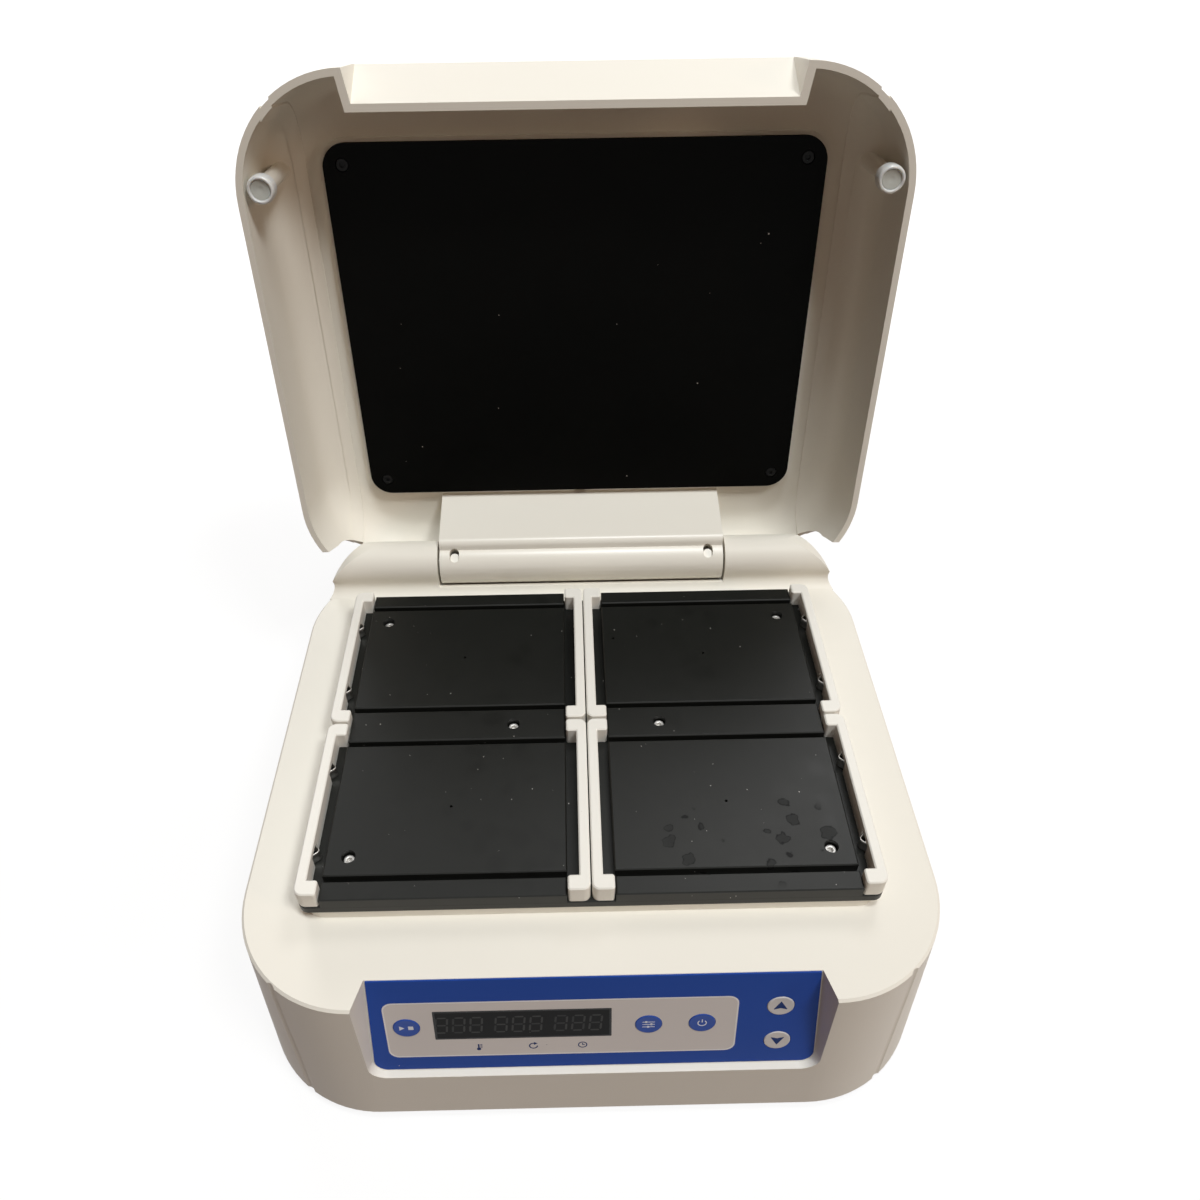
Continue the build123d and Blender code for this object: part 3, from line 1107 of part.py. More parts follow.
def temperature_sensor():
    """Sensor barrel in the underside of the block."""
    return disc(SENSOR_D, BLOCK_Z, BLOCK_Z + SENSOR_DEPTH, SENSOR_X, STATION_CENTRE_Y)


def bracket(sx, sy, outer):
    """C-shaped plate holder: wall with a hook at each end and two pegs."""
    cx, cy = station_centre(sx, sy)
    side = sx if outer else -sx
    face = cx + side * NEST_X / 2
    back = face + side * BRACKET_WALL
    tip = face - side * HOOK_LENGTH
    h0, h1 = BRACKET_HALF_Y, NEST_Y / 2
    pts = [(back, -h0), (tip, -h0), (tip, -h1), (face, -h1),
           (face, h1), (tip, h1), (tip, h0), (back, h0)]
    shape = make_face(Polyline(*[(x, cy + y) for x, y in pts], close=True))
    ends = shape.vertices().filter_by(lambda v: abs(v.X - back) < 0.01)
    shape = fillet(ends, BRACKET_CORNER_R if outer else INNER_CORNER_R)
    tips = shape.vertices().filter_by(lambda v: abs(v.X - tip) < 0.01)
    shape = fillet(tips, HOOK_EDGE_R)
    body = eased(extrude(Pos(0, 0, LEDGE_Z) * shape, BRACKET_RISE, dir=(0, 0, 1)), BRACKET_EDGE)
    if outer:
        slot_top = BRACKET_TOP_Z - WINDOW_TOP
        near = face + side * (SPRING_SETBACK - SLOT_PLAY)
        far = face + side * (SPRING_SETBACK + SPRING_THICK + SPRING_TRAVEL + SLOT_PLAY)
        reach = SPRING_HALF_LENGTH + SLOT_PLAY
        body -= block(min(near, far), max(near, far), cy - reach, cy + reach, LEDGE_Z, slot_top)
        for s in (-1, 1):
            y = cy + s * BULGE_PITCH / 2
            body -= block(min(face, near), max(face, near), y - WINDOW_LENGTH / 2,
                          y + WINDOW_LENGTH / 2, LEDGE_Z, slot_top)
    for x, y in peg_places(sx, sy, outer):
        body += disc(PEG_D, LEDGE_Z - PEG_LENGTH, LEDGE_Z + BLEND, x, y)
    return body


def leaf_spring(sx, sy):
    """Bent strip with two bulges that press the plate against the inner bracket."""
    cx, cy = station_centre(sx, sy)
    face = cx + sx * NEST_X / 2
    line_x = face + sx * (SPRING_SETBACK + SPRING_THICK / 2)
    peak_x = face - sx * (SPRING_BULGE - SPRING_THICK / 2)
    pts = [(line_x, cy - SPRING_HALF_LENGTH)]
    for s in (-1, 1):
        y = cy + s * BULGE_PITCH / 2
        pts += [(line_x, y - BULGE_HALF_LENGTH), (peak_x, y - BULGE_TIP_HALF),
                (peak_x, y + BULGE_TIP_HALF), (line_x, y + BULGE_HALF_LENGTH)]
    pts.append((line_x, cy + SPRING_HALF_LENGTH))
    strip = trace(Polyline(*pts), SPRING_THICK)
    low = LEDGE_Z + SPRING_FLOOR_GAP
    top = BRACKET_TOP_Z - WINDOW_TOP - SPRING_TOP_GAP
    return extrude(Pos(0, 0, low) * strip, top - low, dir=(0, 0, 1))


# -------------------------------------------------------------------- lid
LID_TURN = Pos(0, HINGE_Y, HINGE_Z) * Rot(-LID_OPEN, 0, 0) * Pos(0, -HINGE_Y, -HINGE_Z)


def lid_form(inset=0.0):
    """Closed lid as a solid with all its faces but the rim moved in by inset."""
    z0 = LID_RIM_Z - (LID_WALL if inset else 0)
    height = LID_TOP_Z - LID_RIM_Z
    out = LID_DRAFT * (LID_RIM_Z - z0) / height - inset
    up = -LID_DRAFT * (height - inset) / height - inset
    low = plan(z0, BASE_HALF_X + out, BASE_HALF_Y + out, BASE_CORNER_R + out)
    top = plan(LID_TOP_Z - inset, BASE_HALF_X + up, BASE_HALF_Y + up, BASE_CORNER_R + up)
    body = loft([low, top])
    return fillet(body.edges().group_by(Axis.Z)[-1], LID_SHOULDER_R - inset)


def grip_tool(grow, depth):
    """Body of the finger notch, opening outwards from its sloping face."""
    tilt = math.radians(GRIP_TILT)
    normal = Vector(0, -math.cos(tilt), -math.sin(tilt))
    origin = Vector(0, GRIP_Y, LID_RIM_Z) + normal * depth
    plane = Plane(origin=origin, x_dir=(1, 0, 0), z_dir=normal)
    slope = (GRIP_TOP_HALF_X - GRIP_HALF_X) / GRIP_REACH
    # local y runs down the slope on this plane or up it, so take both from the plane
    up = 1 if plane.y_dir.Z > 0 else -1
    x_low = GRIP_HALF_X + grow - slope * GRIP_OVER
    x_top = GRIP_TOP_HALF_X + grow
    y_low, y_top = -up * GRIP_OVER, up * GRIP_REACH
    face = make_face(Polyline((-x_low, y_low), (x_low, y_low), (x_top, y_top), (-x_top, y_top),
                              close=True))
    return extrude(plane * face, GRIP_OUT - depth, taper=-GRIP_SPLAY)


def lid_arch():
    """Body that opens the rear corners of the lid round the ridge."""
    cy, r = HINGE_Y + LID_ARCH_BACK, LID_ARCH_R
    foot = RIDGE_FOOT_Y + LID_ARCH_FOOT
    low = LID_RIM_Z - CASING_WALL
    side = make_face([
        Polyline((foot, low), (foot, LID_RIM_Z), (cy - r, HINGE_Z)),
        ThreePointArc((cy - r, HINGE_Z), (cy - r * math.sqrt(0.5), HINGE_Z + r * math.sqrt(0.5)),
                      (cy, HINGE_Z + r)),
        Polyline((cy, HINGE_Z + r), (2 * HINGE_Y, HINGE_Z + r), (2 * HINGE_Y, low), (foot, low)),
    ])
    return extrude(Plane.YZ.offset(-2 * BASE_HALF_X) * side, 4 * BASE_HALF_X)


def lid_shell():
    """Moulded lid: drafted shell, grip notch, rear arches, lining seat, bumper posts."""
    body = lid_form()
    skin = lid_form() - lid_form(GROOVE_DEPTH)
    for slab in groove_slabs():
        body -= skin & slab
    cavity = lid_form(LID_WALL)
    lining = cavity - lid_form(LID_WALL + GROOVE_DEPTH)
    for slab in groove_slabs(GROOVE_BACKING):
        cavity -= lining & slab
    cavity -= grip_tool(LID_WALL, -LID_WALL)
    # seat of the lining plate and its screw bosses
    mid_y = (LINING_Y[0] + LINING_Y[1]) / 2
    half_y = (LINING_Y[1] - LINING_Y[0]) / 2
    out_x, out_y = LINING_HALF_X + LINING_FRAME, half_y + LINING_FRAME
    seat_z = LID_INNER_Z + BLEND
    seat = pad(out_x, out_y, LINING_CORNER_R + LINING_FRAME, LINING_TOP_Z, seat_z, mid_y)
    seat -= pad(out_x - LINING_SEAT, out_y - LINING_SEAT, LINING_CORNER_R, LINING_TOP_Z, seat_z,
                mid_y)
    gap = LINING_SEAT_GAP / 2
    seat -= block(-gap, gap, mid_y, 2 * HINGE_Y, 0, seat_z)
    for sx in (-1, 1):
        for y in LINING_SCREW_Y:
            seat += disc(LINING_BOSS_D, LINING_TOP_Z, seat_z, sx * LINING_SCREW_X, y)
            seat -= disc(LINING_SCREW_D + 2 * RUNNING_FIT, LINING_TOP_Z, seat_z,
                         sx * LINING_SCREW_X, y)
    # bumper posts with a rib to the wall
    px, py = BUMPER_XY
    post_z = DECK_Z + BUMPER_LIFT + BUMPER_HEIGHT
    posts = []
    for sx in (-1, 1):
        post = disc(BUMPER_POST_D, post_z, LID_TOP_Z, sx * px, py)
        post += disc(BUMPER_HOLE_D - 2 * RUNNING_FIT, DECK_Z + BUMPER_LIFT + BUMPER_PEG_SHORT,
                     LID_TOP_Z, sx * px, py)
        rib = block(0, BUMPER_POST_D * 2, -BUMPER_RIB / 2, BUMPER_RIB / 2,
                    post_z + BUMPER_RIB_SETBACK, LID_TOP_Z)
        post += Pos(sx * px, py, 0) * Rot(0, 0, 0 if sx > 0 else 180) * rib
        posts.append(post & cavity)
    body -= cavity
    for post in posts:
        body += post
    body += seat
    body -= grip_tool(0, 0)
    return LID_TURN * (body - lid_arch())


def lid_lining_plate():
    """Dark plate under the roof of the lid with countersunk holes."""
    mid_y = (LINING_Y[0] + LINING_Y[1]) / 2
    half_y = (LINING_Y[1] - LINING_Y[0]) / 2
    plate = pad(LINING_HALF_X, half_y, LINING_CORNER_R, LINING_Z, LINING_TOP_Z, mid_y)
    for sx in (-1, 1):
        for y in LINING_SCREW_Y:
            x = sx * LINING_SCREW_X
            plate -= disc(LINING_SCREW_D + 2 * HOLE_CLEARANCE, LINING_Z, LINING_TOP_Z, x, y)
            plate -= disc(LINING_SCREW_HEAD_D + 4 * HOLE_CLEARANCE, LINING_Z,
                          LINING_Z + LINING_SCREW_HEAD, x, y)
    return LID_TURN * plate


def lining_screws():
    """Screws that hold the lining plate."""
    screw = Rot(180, 0, 0) * cap_screw(LINING_SCREW_D, LINING_THICK + LINING_SCREW_BITE,
                                       LINING_SCREW_HEAD_D, LINING_SCREW_HEAD - LINING_SCREW_SUNK,
                                       LINING_SCREW_D)
    z = LINING_Z + LINING_SCREW_HEAD
    return [LID_TURN * Pos(sx * LINING_SCREW_X, y, z) * screw
            for sx in (-1, 1) for y in LINING_SCREW_Y]


def lid_bumpers():
    """Ringed silicone bumpers on the posts in the front corners."""
    z0 = DECK_Z + BUMPER_LIFT
    z1 = z0 + BUMPER_HEIGHT
    bumper = disc(BUMPER_D, z0 + BUMPER_TIP_HEIGHT, z1)
    bumper += Pos(0, 0, z0 + BUMPER_TIP_HEIGHT / 2) * Cone(
        BUMPER_D / 2 - BUMPER_TIP, BUMPER_D / 2, BUMPER_TIP_HEIGHT)
    bumper -= disc(BUMPER_HOLE_D, z0, z1)
    bumper -= disc(BUMPER_RING[1], z0, z0 + BUMPER_RING_DEPTH) - disc(BUMPER_RING[0], z0, z1)
    return [LID_TURN * Pos(sx * BUMPER_XY[0], BUMPER_XY[1], 0) * bumper for sx in (-1, 1)]


def hinge_arm():
    """Barrel and curved arm that carry the lid, with ribs and a roof flange."""
    root_z = LID_INNER_Z - HINGE_Z
    knee = Vector(*ARM_KNEE)
    root = Vector(ARM_ROOT_Y, root_z)
    up = (root - knee).normalized()
    side = Vector(up.Y, -up.X) * ARM_THICK
    inner_root = Vector(root.X + ARM_THICK / up.Y, root_z)
    inner_foot = knee + side + up * ARM_FOOT_RISE
    flange_end = root.X + ARM_FLANGE
    flange_z = root_z - ARM_FLANGE_THICK
    lower_root = inner_root - up * (ARM_FLANGE_THICK / up.Y)
    web = make_face(Polyline(
        ARM_START, ARM_KNEE, (root.X, root_z), (flange_end, root_z), (flange_end, flange_z),
        (lower_root.X, flange_z), (inner_foot.X, inner_foot.Y), *ARM_IN_BARREL, close=True))
    knees = web.vertices().filter_by(lambda v: (Vector(v.X, v.Y) - knee).length < 0.01)
    web = fillet(knees, ARM_KNEE_R)
    arm = extrude(Plane.YZ.offset(-BARREL_HALF_X) * web, 2 * BARREL_HALF_X)
    rib_face = make_face(Polyline(
        (inner_foot.X - ARM_RIB_INSET, inner_foot.Y), (lower_root.X - ARM_RIB_INSET / 2, flange_z),
        (flange_end - ARM_RIB_INSET, flange_z), *RIB_IN_BARREL, close=True))
    for x in ARM_RIB_X:
        arm += extrude(Plane.YZ.offset(x - ARM_RIB / 2) * rib_face, ARM_RIB)
    arm = Pos(0, HINGE_Y, HINGE_Z) * arm
    arm += bar_x(2 * BARREL_R, -BARREL_HALF_X, BARREL_HALF_X, HINGE_Y, HINGE_Z)
    for s in (-1, 1):
        lo, hi = sorted((s * HINGE_PIN_INNER_X, s * (BARREL_HALF_X + BLEND)))
        arm -= bar_x(HINGE_PIN_D, lo, hi, HINGE_Y, HINGE_Z)
        arm -= clamp_place(s) * extrude(Rot(0, 0, 90) * SlotOverall(CLAMP_HOLE[1], CLAMP_HOLE[0]),
                                        BARREL_R)
    return LID_TURN * arm


def clamp_place(s):
    """Radial direction of a clamp screw; z points out of the barrel."""
    a = math.radians(CLAMP_ANGLE)
    out = Vector(0, math.cos(a), math.sin(a))
    origin = Vector(s * CLAMP_X, HINGE_Y, HINGE_Z) + out * (HINGE_PIN_D / 2)
    return Plane(origin=origin, x_dir=(1, 0, 0), z_dir=out).location


def hinge_pins():
    """Two pins, clamped in the barrel, that turn in the dampers."""
    return [LID_TURN * bar_x(HINGE_PIN_D, min(s * HINGE_PIN_INNER_X, s * HINGE_PIN_OUTER_X),
                             max(s * HINGE_PIN_INNER_X, s * HINGE_PIN_OUTER_X), HINGE_Y, HINGE_Z)
            for s in (-1, 1)]


def clamp_screws():
    """Socket screws that clamp the pins."""
    shank = CLAMP_SCREW_LENGTH - CLAMP_SCREW_HEAD
    screw = Pos(0, 0, shank) * cap_screw(CLAMP_SCREW_D, shank, CLAMP_HOLE[0] - 2 * CLAMP_SCREW_GAP,
                                         CLAMP_SCREW_HEAD, CLAMP_SCREW_D / 2)
    return [LID_TURN * clamp_place(s) * screw for s in (-1, 1)]


def hinge_dampers():
    """Friction cartridges inside the ridge that hold the lid where it is left."""
    x0 = RIDGE_NOTCH_X + CASING_WALL
    body = bar_x(DAMPER_D, x0, x0 + DAMPER_LENGTH, HINGE_Y, HINGE_Z)
    body -= bar_x(HINGE_PIN_D + 2 * RUNNING_FIT, x0, x0 + DAMPER_LENGTH, HINGE_Y, HINGE_Z)
    return mirrored(body)


# ------------------------------------------------------------------ output
NODES = {
    "top_casing": top_casing, "bottom_plate": bottom_plate, "feet": feet,
    "case_screws": case_screws, "control_panel": control_panel, "silver_field": silver_field,
    "display_window": display_window, "display_module": display_module,
    "keypad_board": keypad_board, "main_board": main_board, "power_supply": power_supply,
    "fan_frame": fan_frame, "fan_rotor": fan_rotor, "power_inlet": power_inlet,
    "switch_rocker": switch_rocker, "drive_frame": drive_frame, "frame_columns": frame_columns,
    "drive_motor": drive_motor, "motor_pulley": motor_pulley, "drive_belt": drive_belt,
    "crank_shaft": crank_shaft, "crank_pulley": crank_pulley, "counterweight": counterweight,
    "crank_bearings": crank_bearings, "eccentric_bearing": eccentric_bearing,
    "idler_bearings_lower": idler_bearings_lower, "idler_bearings_upper": idler_bearings_upper,
    "platform_plate": platform_plate, "insulation_pad": insulation_pad,
    "heater_film": heater_film, "heating_block": heating_block, "block_screws": block_screws,
    "temperature_sensor": temperature_sensor, "lid_shell": lid_shell,
    "lid_lining_plate": lid_lining_plate, "lining_screws": lining_screws,
    "lid_bumpers": lid_bumpers, "hinge_arm": hinge_arm, "hinge_pins": hinge_pins,
    "clamp_screws": clamp_screws, "hinge_dampers": hinge_dampers,
}


def build():
    """Every node of the assembly, by name."""
    nodes = {name: make() for name, make in NODES.items()}
    for name in KEY_CENTRES:
        nodes[name] = panel_key(name)
    for place, (sx, sy) in STATIONS.items():
        nodes["outer_bracket_" + place] = bracket(sx, sy, True)
        nodes["leaf_spring_" + place] = leaf_spring(sx, sy)
        nodes["idler_crank_" + place] = idler_crank(sx, sy)
    nodes["inner_brackets"] = [bracket(sx, sy, False) for sx, sy in STATIONS.values()]
    return nodes


for node_name, shape in build().items():
    if isinstance(shape, list):
        shape = Compound(children=[s if isinstance(s, Solid) else s.solid() for s in shape])
    export_step(shape, os.path.join("parts", node_name + ".step"))
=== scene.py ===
"""Looks of the four-position microplate incubator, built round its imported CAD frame.

Lengths are in millimetres until a mesh is made of them, which has the frame's metres. Every
piece stands where the CAD puts it. The finishes are made of shader nodes only, and each new
piece is a surface worked out with numpy.
"""
import json
import logging
import math
from dataclasses import dataclass, field
from enum import Enum
from typing import ClassVar

import bmesh
import bpy
import numpy as np
from bpy.types import ID, Material, Mesh, Node, NodeOutputs, NodeTree, Object
from bpy.types import NodeSocket as Socket
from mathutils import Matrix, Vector


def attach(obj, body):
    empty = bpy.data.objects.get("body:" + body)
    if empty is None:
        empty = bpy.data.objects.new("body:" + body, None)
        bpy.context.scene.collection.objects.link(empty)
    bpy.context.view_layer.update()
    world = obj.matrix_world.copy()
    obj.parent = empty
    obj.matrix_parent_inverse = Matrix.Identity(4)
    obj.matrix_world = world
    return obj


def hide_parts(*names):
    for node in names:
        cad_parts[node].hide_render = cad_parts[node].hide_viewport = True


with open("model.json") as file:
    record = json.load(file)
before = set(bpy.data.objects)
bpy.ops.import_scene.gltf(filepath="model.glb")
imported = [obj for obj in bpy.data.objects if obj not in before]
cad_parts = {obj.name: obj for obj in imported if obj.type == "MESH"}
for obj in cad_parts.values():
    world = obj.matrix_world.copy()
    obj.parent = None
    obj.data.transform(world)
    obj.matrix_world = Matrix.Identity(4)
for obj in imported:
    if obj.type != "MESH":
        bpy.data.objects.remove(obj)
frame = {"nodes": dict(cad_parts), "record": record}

LOG = logging.getLogger("incubator")
MM = 0.001
STATIONS = {"front_left": (-1, -1), "front_right": (1, -1),
            "rear_left": (-1, 1), "rear_right": (1, 1)}
Colour = tuple[float, float, float]
Point = tuple[float, float, float]
Profile = tuple[tuple[float, float], ...]


# ------ shader nodes
class Graph:
    """A node tree that is filled from left to right."""

    def __init__(self, tree: NodeTree) -> None:
        """Keep the tree that nodes are added to."""
        self.tree = tree
        self.column = 0

    @classmethod
    def of(cls, owner: ID) -> "Graph":
        """Return the emptied node tree of a material or world, to be filled."""
        owner.use_nodes = True
        owner.node_tree.nodes.clear()
        return cls(owner.node_tree)

    def add(self, kind: str, inputs: dict | None = None, **settings) -> Node:
        """Add one node.

        Args:
            kind: the node's type name.
            inputs: socket name or number to a value, or to a socket to link from.
            **settings: properties of the node.

        Returns:
            The new node.
        """
        node = self.tree.nodes.new(kind)
        self.column += 1
        node.location = (180 * self.column, 0)
        for name, value in settings.items():
            setattr(node, name, value)
        for key, value in (inputs or {}).items():
            self.feed(node, key, value)
        return node

    def feed(self, node: Node, key: str | int, value) -> None:
        """Link value to the node's socket, or set it there as a constant."""
        if isinstance(value, Socket):
            self.tree.links.new(value, node.inputs[key])
        elif isinstance(value, tuple) and len(node.inputs[key].default_value) == 4:
            node.inputs[key].default_value = (*value[:3], 1.0)
        else:
            node.inputs[key].default_value = value

    def maths(self, operation: str, *values) -> Socket:
        """Return the result of a Math node over values or sockets."""
        return self.add("ShaderNodeMath", dict(enumerate(values)), operation=operation).outputs[0]

    def times(self, first, second) -> Socket:
        """Return first times second."""
        return self.maths("MULTIPLY", first, second)

    def plus(self, first, second) -> Socket:
        """Return first plus second."""
        return self.maths("ADD", first, second)

    def vector(self, operation: str, *values) -> Socket:
        """Return the vector that a Vector Math node makes of values or sockets."""
        return self.add("ShaderNodeVectorMath", dict(enumerate(values)),
                        operation=operation).outputs[0]

    def length(self, vector) -> Socket:
        """Return the length of a vector."""
        return self.add("ShaderNodeVectorMath", {0: vector}, operation="LENGTH").outputs["Value"]

    def cells(self, vector, scale, feature: str = "F1") -> NodeOutputs:
        """Return the outputs of a cell texture."""
        return self.add("ShaderNodeTexVoronoi", {"Vector": vector, "Scale": scale},
                        feature=feature).outputs

    def ramp(self, value, low: float, high: float) -> Socket:
        """Return value stretched so that low becomes 0 and high becomes 1, with eased ends."""
        return self.add("ShaderNodeMapRange", {0: value, 1: low, 2: high},
                        interpolation_type="SMOOTHSTEP").outputs[0]

    def noise(self, vector, scale, detail: float = 3.0, rough: float = 0.5) -> Socket:
        """Return the factor of a noise texture."""
        return self.add("ShaderNodeTexNoise", {"Vector": vector, "Scale": scale, "Detail": detail,
                                               "Roughness": rough}).outputs["Fac"]

    def mix(self, factor, first, second) -> Socket:
        """Return the colour that is first at factor 0 and second at factor 1."""
        return self.add("ShaderNodeMix", {0: factor, 6: first, 7: second},
                        data_type="RGBA").outputs[2]


FLOAT, VECTOR, COLOUR = "NodeSocketFloat", "NodeSocketVector", "NodeSocketColor"


def shader_group(name: str, outputs: dict[str, str],
                 **inputs: float | str) -> tuple[Graph, NodeOutputs, Node]:
    """Start a shader node group with named sockets.

    Args:
        name: the group's name.
        outputs: socket name to its kind.
        **inputs: socket name to its kind, or to the first value of a number.

    Returns:
        The graph to fill, the sockets that hold what is given, and the output node.
    """
    tree = bpy.data.node_groups.new(name, "ShaderNodeTree")
    for socket, value in inputs.items():
        kind = value if isinstance(value, str) else FLOAT
        made = tree.interface.new_socket(name=socket, in_out="INPUT", socket_type=kind)
        if kind == FLOAT:
            made.default_value = value
    for socket, kind in outputs.items():
        tree.interface.new_socket(name=socket, in_out="OUTPUT", socket_type=kind)
    graph = Graph(tree)
    return graph, graph.add("NodeGroupInput").outputs, graph.add("NodeGroupOutput")


def tone_drift_group() -> NodeTree:
    """Slow change of a colour over a surface: large clouds and a finer mottle.

    Returns:
        The group, whose sockets are named below.
    """
    graph, given, end = shader_group("ToneDrift", {"Colour": COLOUR}, Vector=VECTOR,
                                     Colour=COLOUR, Tint=COLOUR, Scale=8.0, Amount=0.3)
    clouds = graph.noise(given["Vector"], given["Scale"], 2.0, 0.45)
    finer = graph.times(given["Scale"], 9.0)
    mottle = graph.noise(given["Vector"], finer, 4.0, 0.6)
    both = graph.plus(graph.times(clouds, 0.7), graph.times(mottle, 0.3))
    share = graph.times(graph.ramp(both, 0.3, 0.7), given["Amount"])
    graph.feed(end, 0, graph.mix(share, given["Colour"], given["Tint"]))
    return graph.tree


def mould_grain_group() -> NodeTree:
    """Fine texture of a moulded or blasted surface: soft cells under a finer noise.

    Returns:
        The group, whose sockets are named below.
    """
    graph, given, end = shader_group("MouldGrain", {"Height": FLOAT, "Gloss": FLOAT},
                                     Vector=VECTOR, Scale=900.0, Depth=1.0)
    cells = graph.cells(given["Vector"], given["Scale"], "SMOOTH_F1")["Distance"]
    fine = graph.noise(given["Vector"], graph.times(given["Scale"], 2.3), 2.0, 0.6)
    height = graph.plus(graph.times(cells, 0.6), graph.times(fine, 0.4))
    graph.feed(end, 0, graph.times(height, given["Depth"]))
    graph.feed(end, 1, graph.ramp(fine, 0.25, 0.75))
    return graph.tree


def dust_group() -> NodeTree:
    """Sparse light flecks: small discs in a few of a cell pattern's cells.

    Returns:
        The group, whose sockets are named below.
    """
    graph, given, end = shader_group("DustFlecks", {"Mask": FLOAT}, Vector=VECTOR, Scale=120.0,
                                     Share=0.1, Size=0.12)
    cell = graph.cells(given["Vector"], given["Scale"])
    parts = graph.add("ShaderNodeSeparateColor", {0: cell["Color"]})
    chosen = graph.maths("LESS_THAN", parts.outputs[0], given["Share"])
    size = graph.times(given["Size"], graph.plus(parts.outputs[1], 0.35))
    graph.feed(end, 0, graph.times(chosen, graph.maths("LESS_THAN", cell["Distance"], size)))
    return graph.tree


def smudge_group() -> NodeTree:
    """Patches left by hands and wiping: stretched clouds cut into islands with soft rims.

    Returns:
        The group, whose sockets are named below.
    """
    graph, given, end = shader_group("HandSmudges", {"Mask": FLOAT}, Vector=VECTOR, Scale=12.0,
                                     Share=0.4)
    islands = graph.noise(given["Vector"], given["Scale"], 3.0, 0.55)
    prints = graph.cells(given["Vector"], graph.times(given["Scale"], 7.0), "SMOOTH_F1")
    marks = graph.times(graph.ramp(prints["Distance"], 0.5, 0.2), 0.7)
    patch = graph.times(graph.ramp(islands, 0.5, 0.62), graph.plus(marks, 0.3))
    graph.feed(end, 0, graph.times(patch, given["Share"]))
    return graph.tree


def brushing_group() -> NodeTree:
    """Turning or brushing marks: noise stretched along two axes.

    Returns:
        The group, whose sockets are named below.
    """
    graph, given, end = shader_group("BrushMarks", {"Height": FLOAT, "Gloss": FLOAT},
                                     Vector=VECTOR, Along=40.0, Across=1800.0)
    across = given["Across"]
    scale = graph.add("ShaderNodeCombineXYZ", {0: given["Along"], 1: across, 2: across})
    point = graph.vector("MULTIPLY", given["Vector"], scale.outputs[0])
    lines = graph.noise(point, 1.0, 3.0, 0.6)
    graph.feed(end, 0, lines)
    graph.feed(end, 1, graph.ramp(lines, 0.3, 0.7))
    return graph.tree


def stain_group() -> NodeTree:
    """Dried splashes: warped blobs with a darker rim, within a soft oval region.

    A blob is where the distance to a cell's point is less than the cell's own size, and its rim
    is where the two are nearly the same.

    Returns:
        The group, whose sockets are named below.
    """
    graph, given, end = shader_group("DriedStains", {"Mask": FLOAT}, Vector=VECTOR, Centre=VECTOR,
                                     Reach=VECTOR, Scale=90.0, Share=0.6)
    place = given["Vector"]
    wobble = graph.add("ShaderNodeTexNoise", {"Vector": place, "Scale": 260.0, "Detail": 2.0})
    offset = graph.vector("SUBTRACT", wobble.outputs["Color"], (0.5, 0.5, 0.5))
    warped = graph.vector("MULTIPLY_ADD", offset, (0.005, 0.005, 0.0), place)
    cell = graph.cells(warped, given["Scale"])
    parts = graph.add("ShaderNodeSeparateColor", {0: cell["Color"]})
    chosen = graph.maths("LESS_THAN", parts.outputs[0], given["Share"])
    size = graph.maths("MULTIPLY_ADD", parts.outputs[1], 0.24, 0.16)
    gap = graph.maths("SUBTRACT", cell["Distance"], size)
    inside = graph.ramp(gap, 0.02, -0.02)
    rim = graph.ramp(graph.maths("ABSOLUTE", gap), 0.07, 0.01)
    shade = graph.times(inside, graph.maths("MULTIPLY_ADD", rim, 0.55, 0.45))
    away = graph.vector("SUBTRACT", place, given["Centre"])
    length = graph.length(graph.vector("DIVIDE", away, given["Reach"]))
    region = graph.ramp(length, 1.0, 0.75)
    graph.feed(end, 0, graph.times(graph.times(chosen, shade), region))
    return graph.tree


class Effect(Enum):
    """Shared effects, by the name of their shader group."""

    DRIFT = "ToneDrift"
    GRAIN = "MouldGrain"
    DUST = "DustFlecks"
    SMUDGE = "HandSmudges"
    BRUSH = "BrushMarks"
    STAIN = "DriedStains"


def build_effects() -> None:
    """Make the shader groups that the finishes share."""
    for make in (tone_drift_group, mould_grain_group, dust_group, smudge_group, brushing_group,
                 stain_group):
        LOG.info("effect %s", make().name)


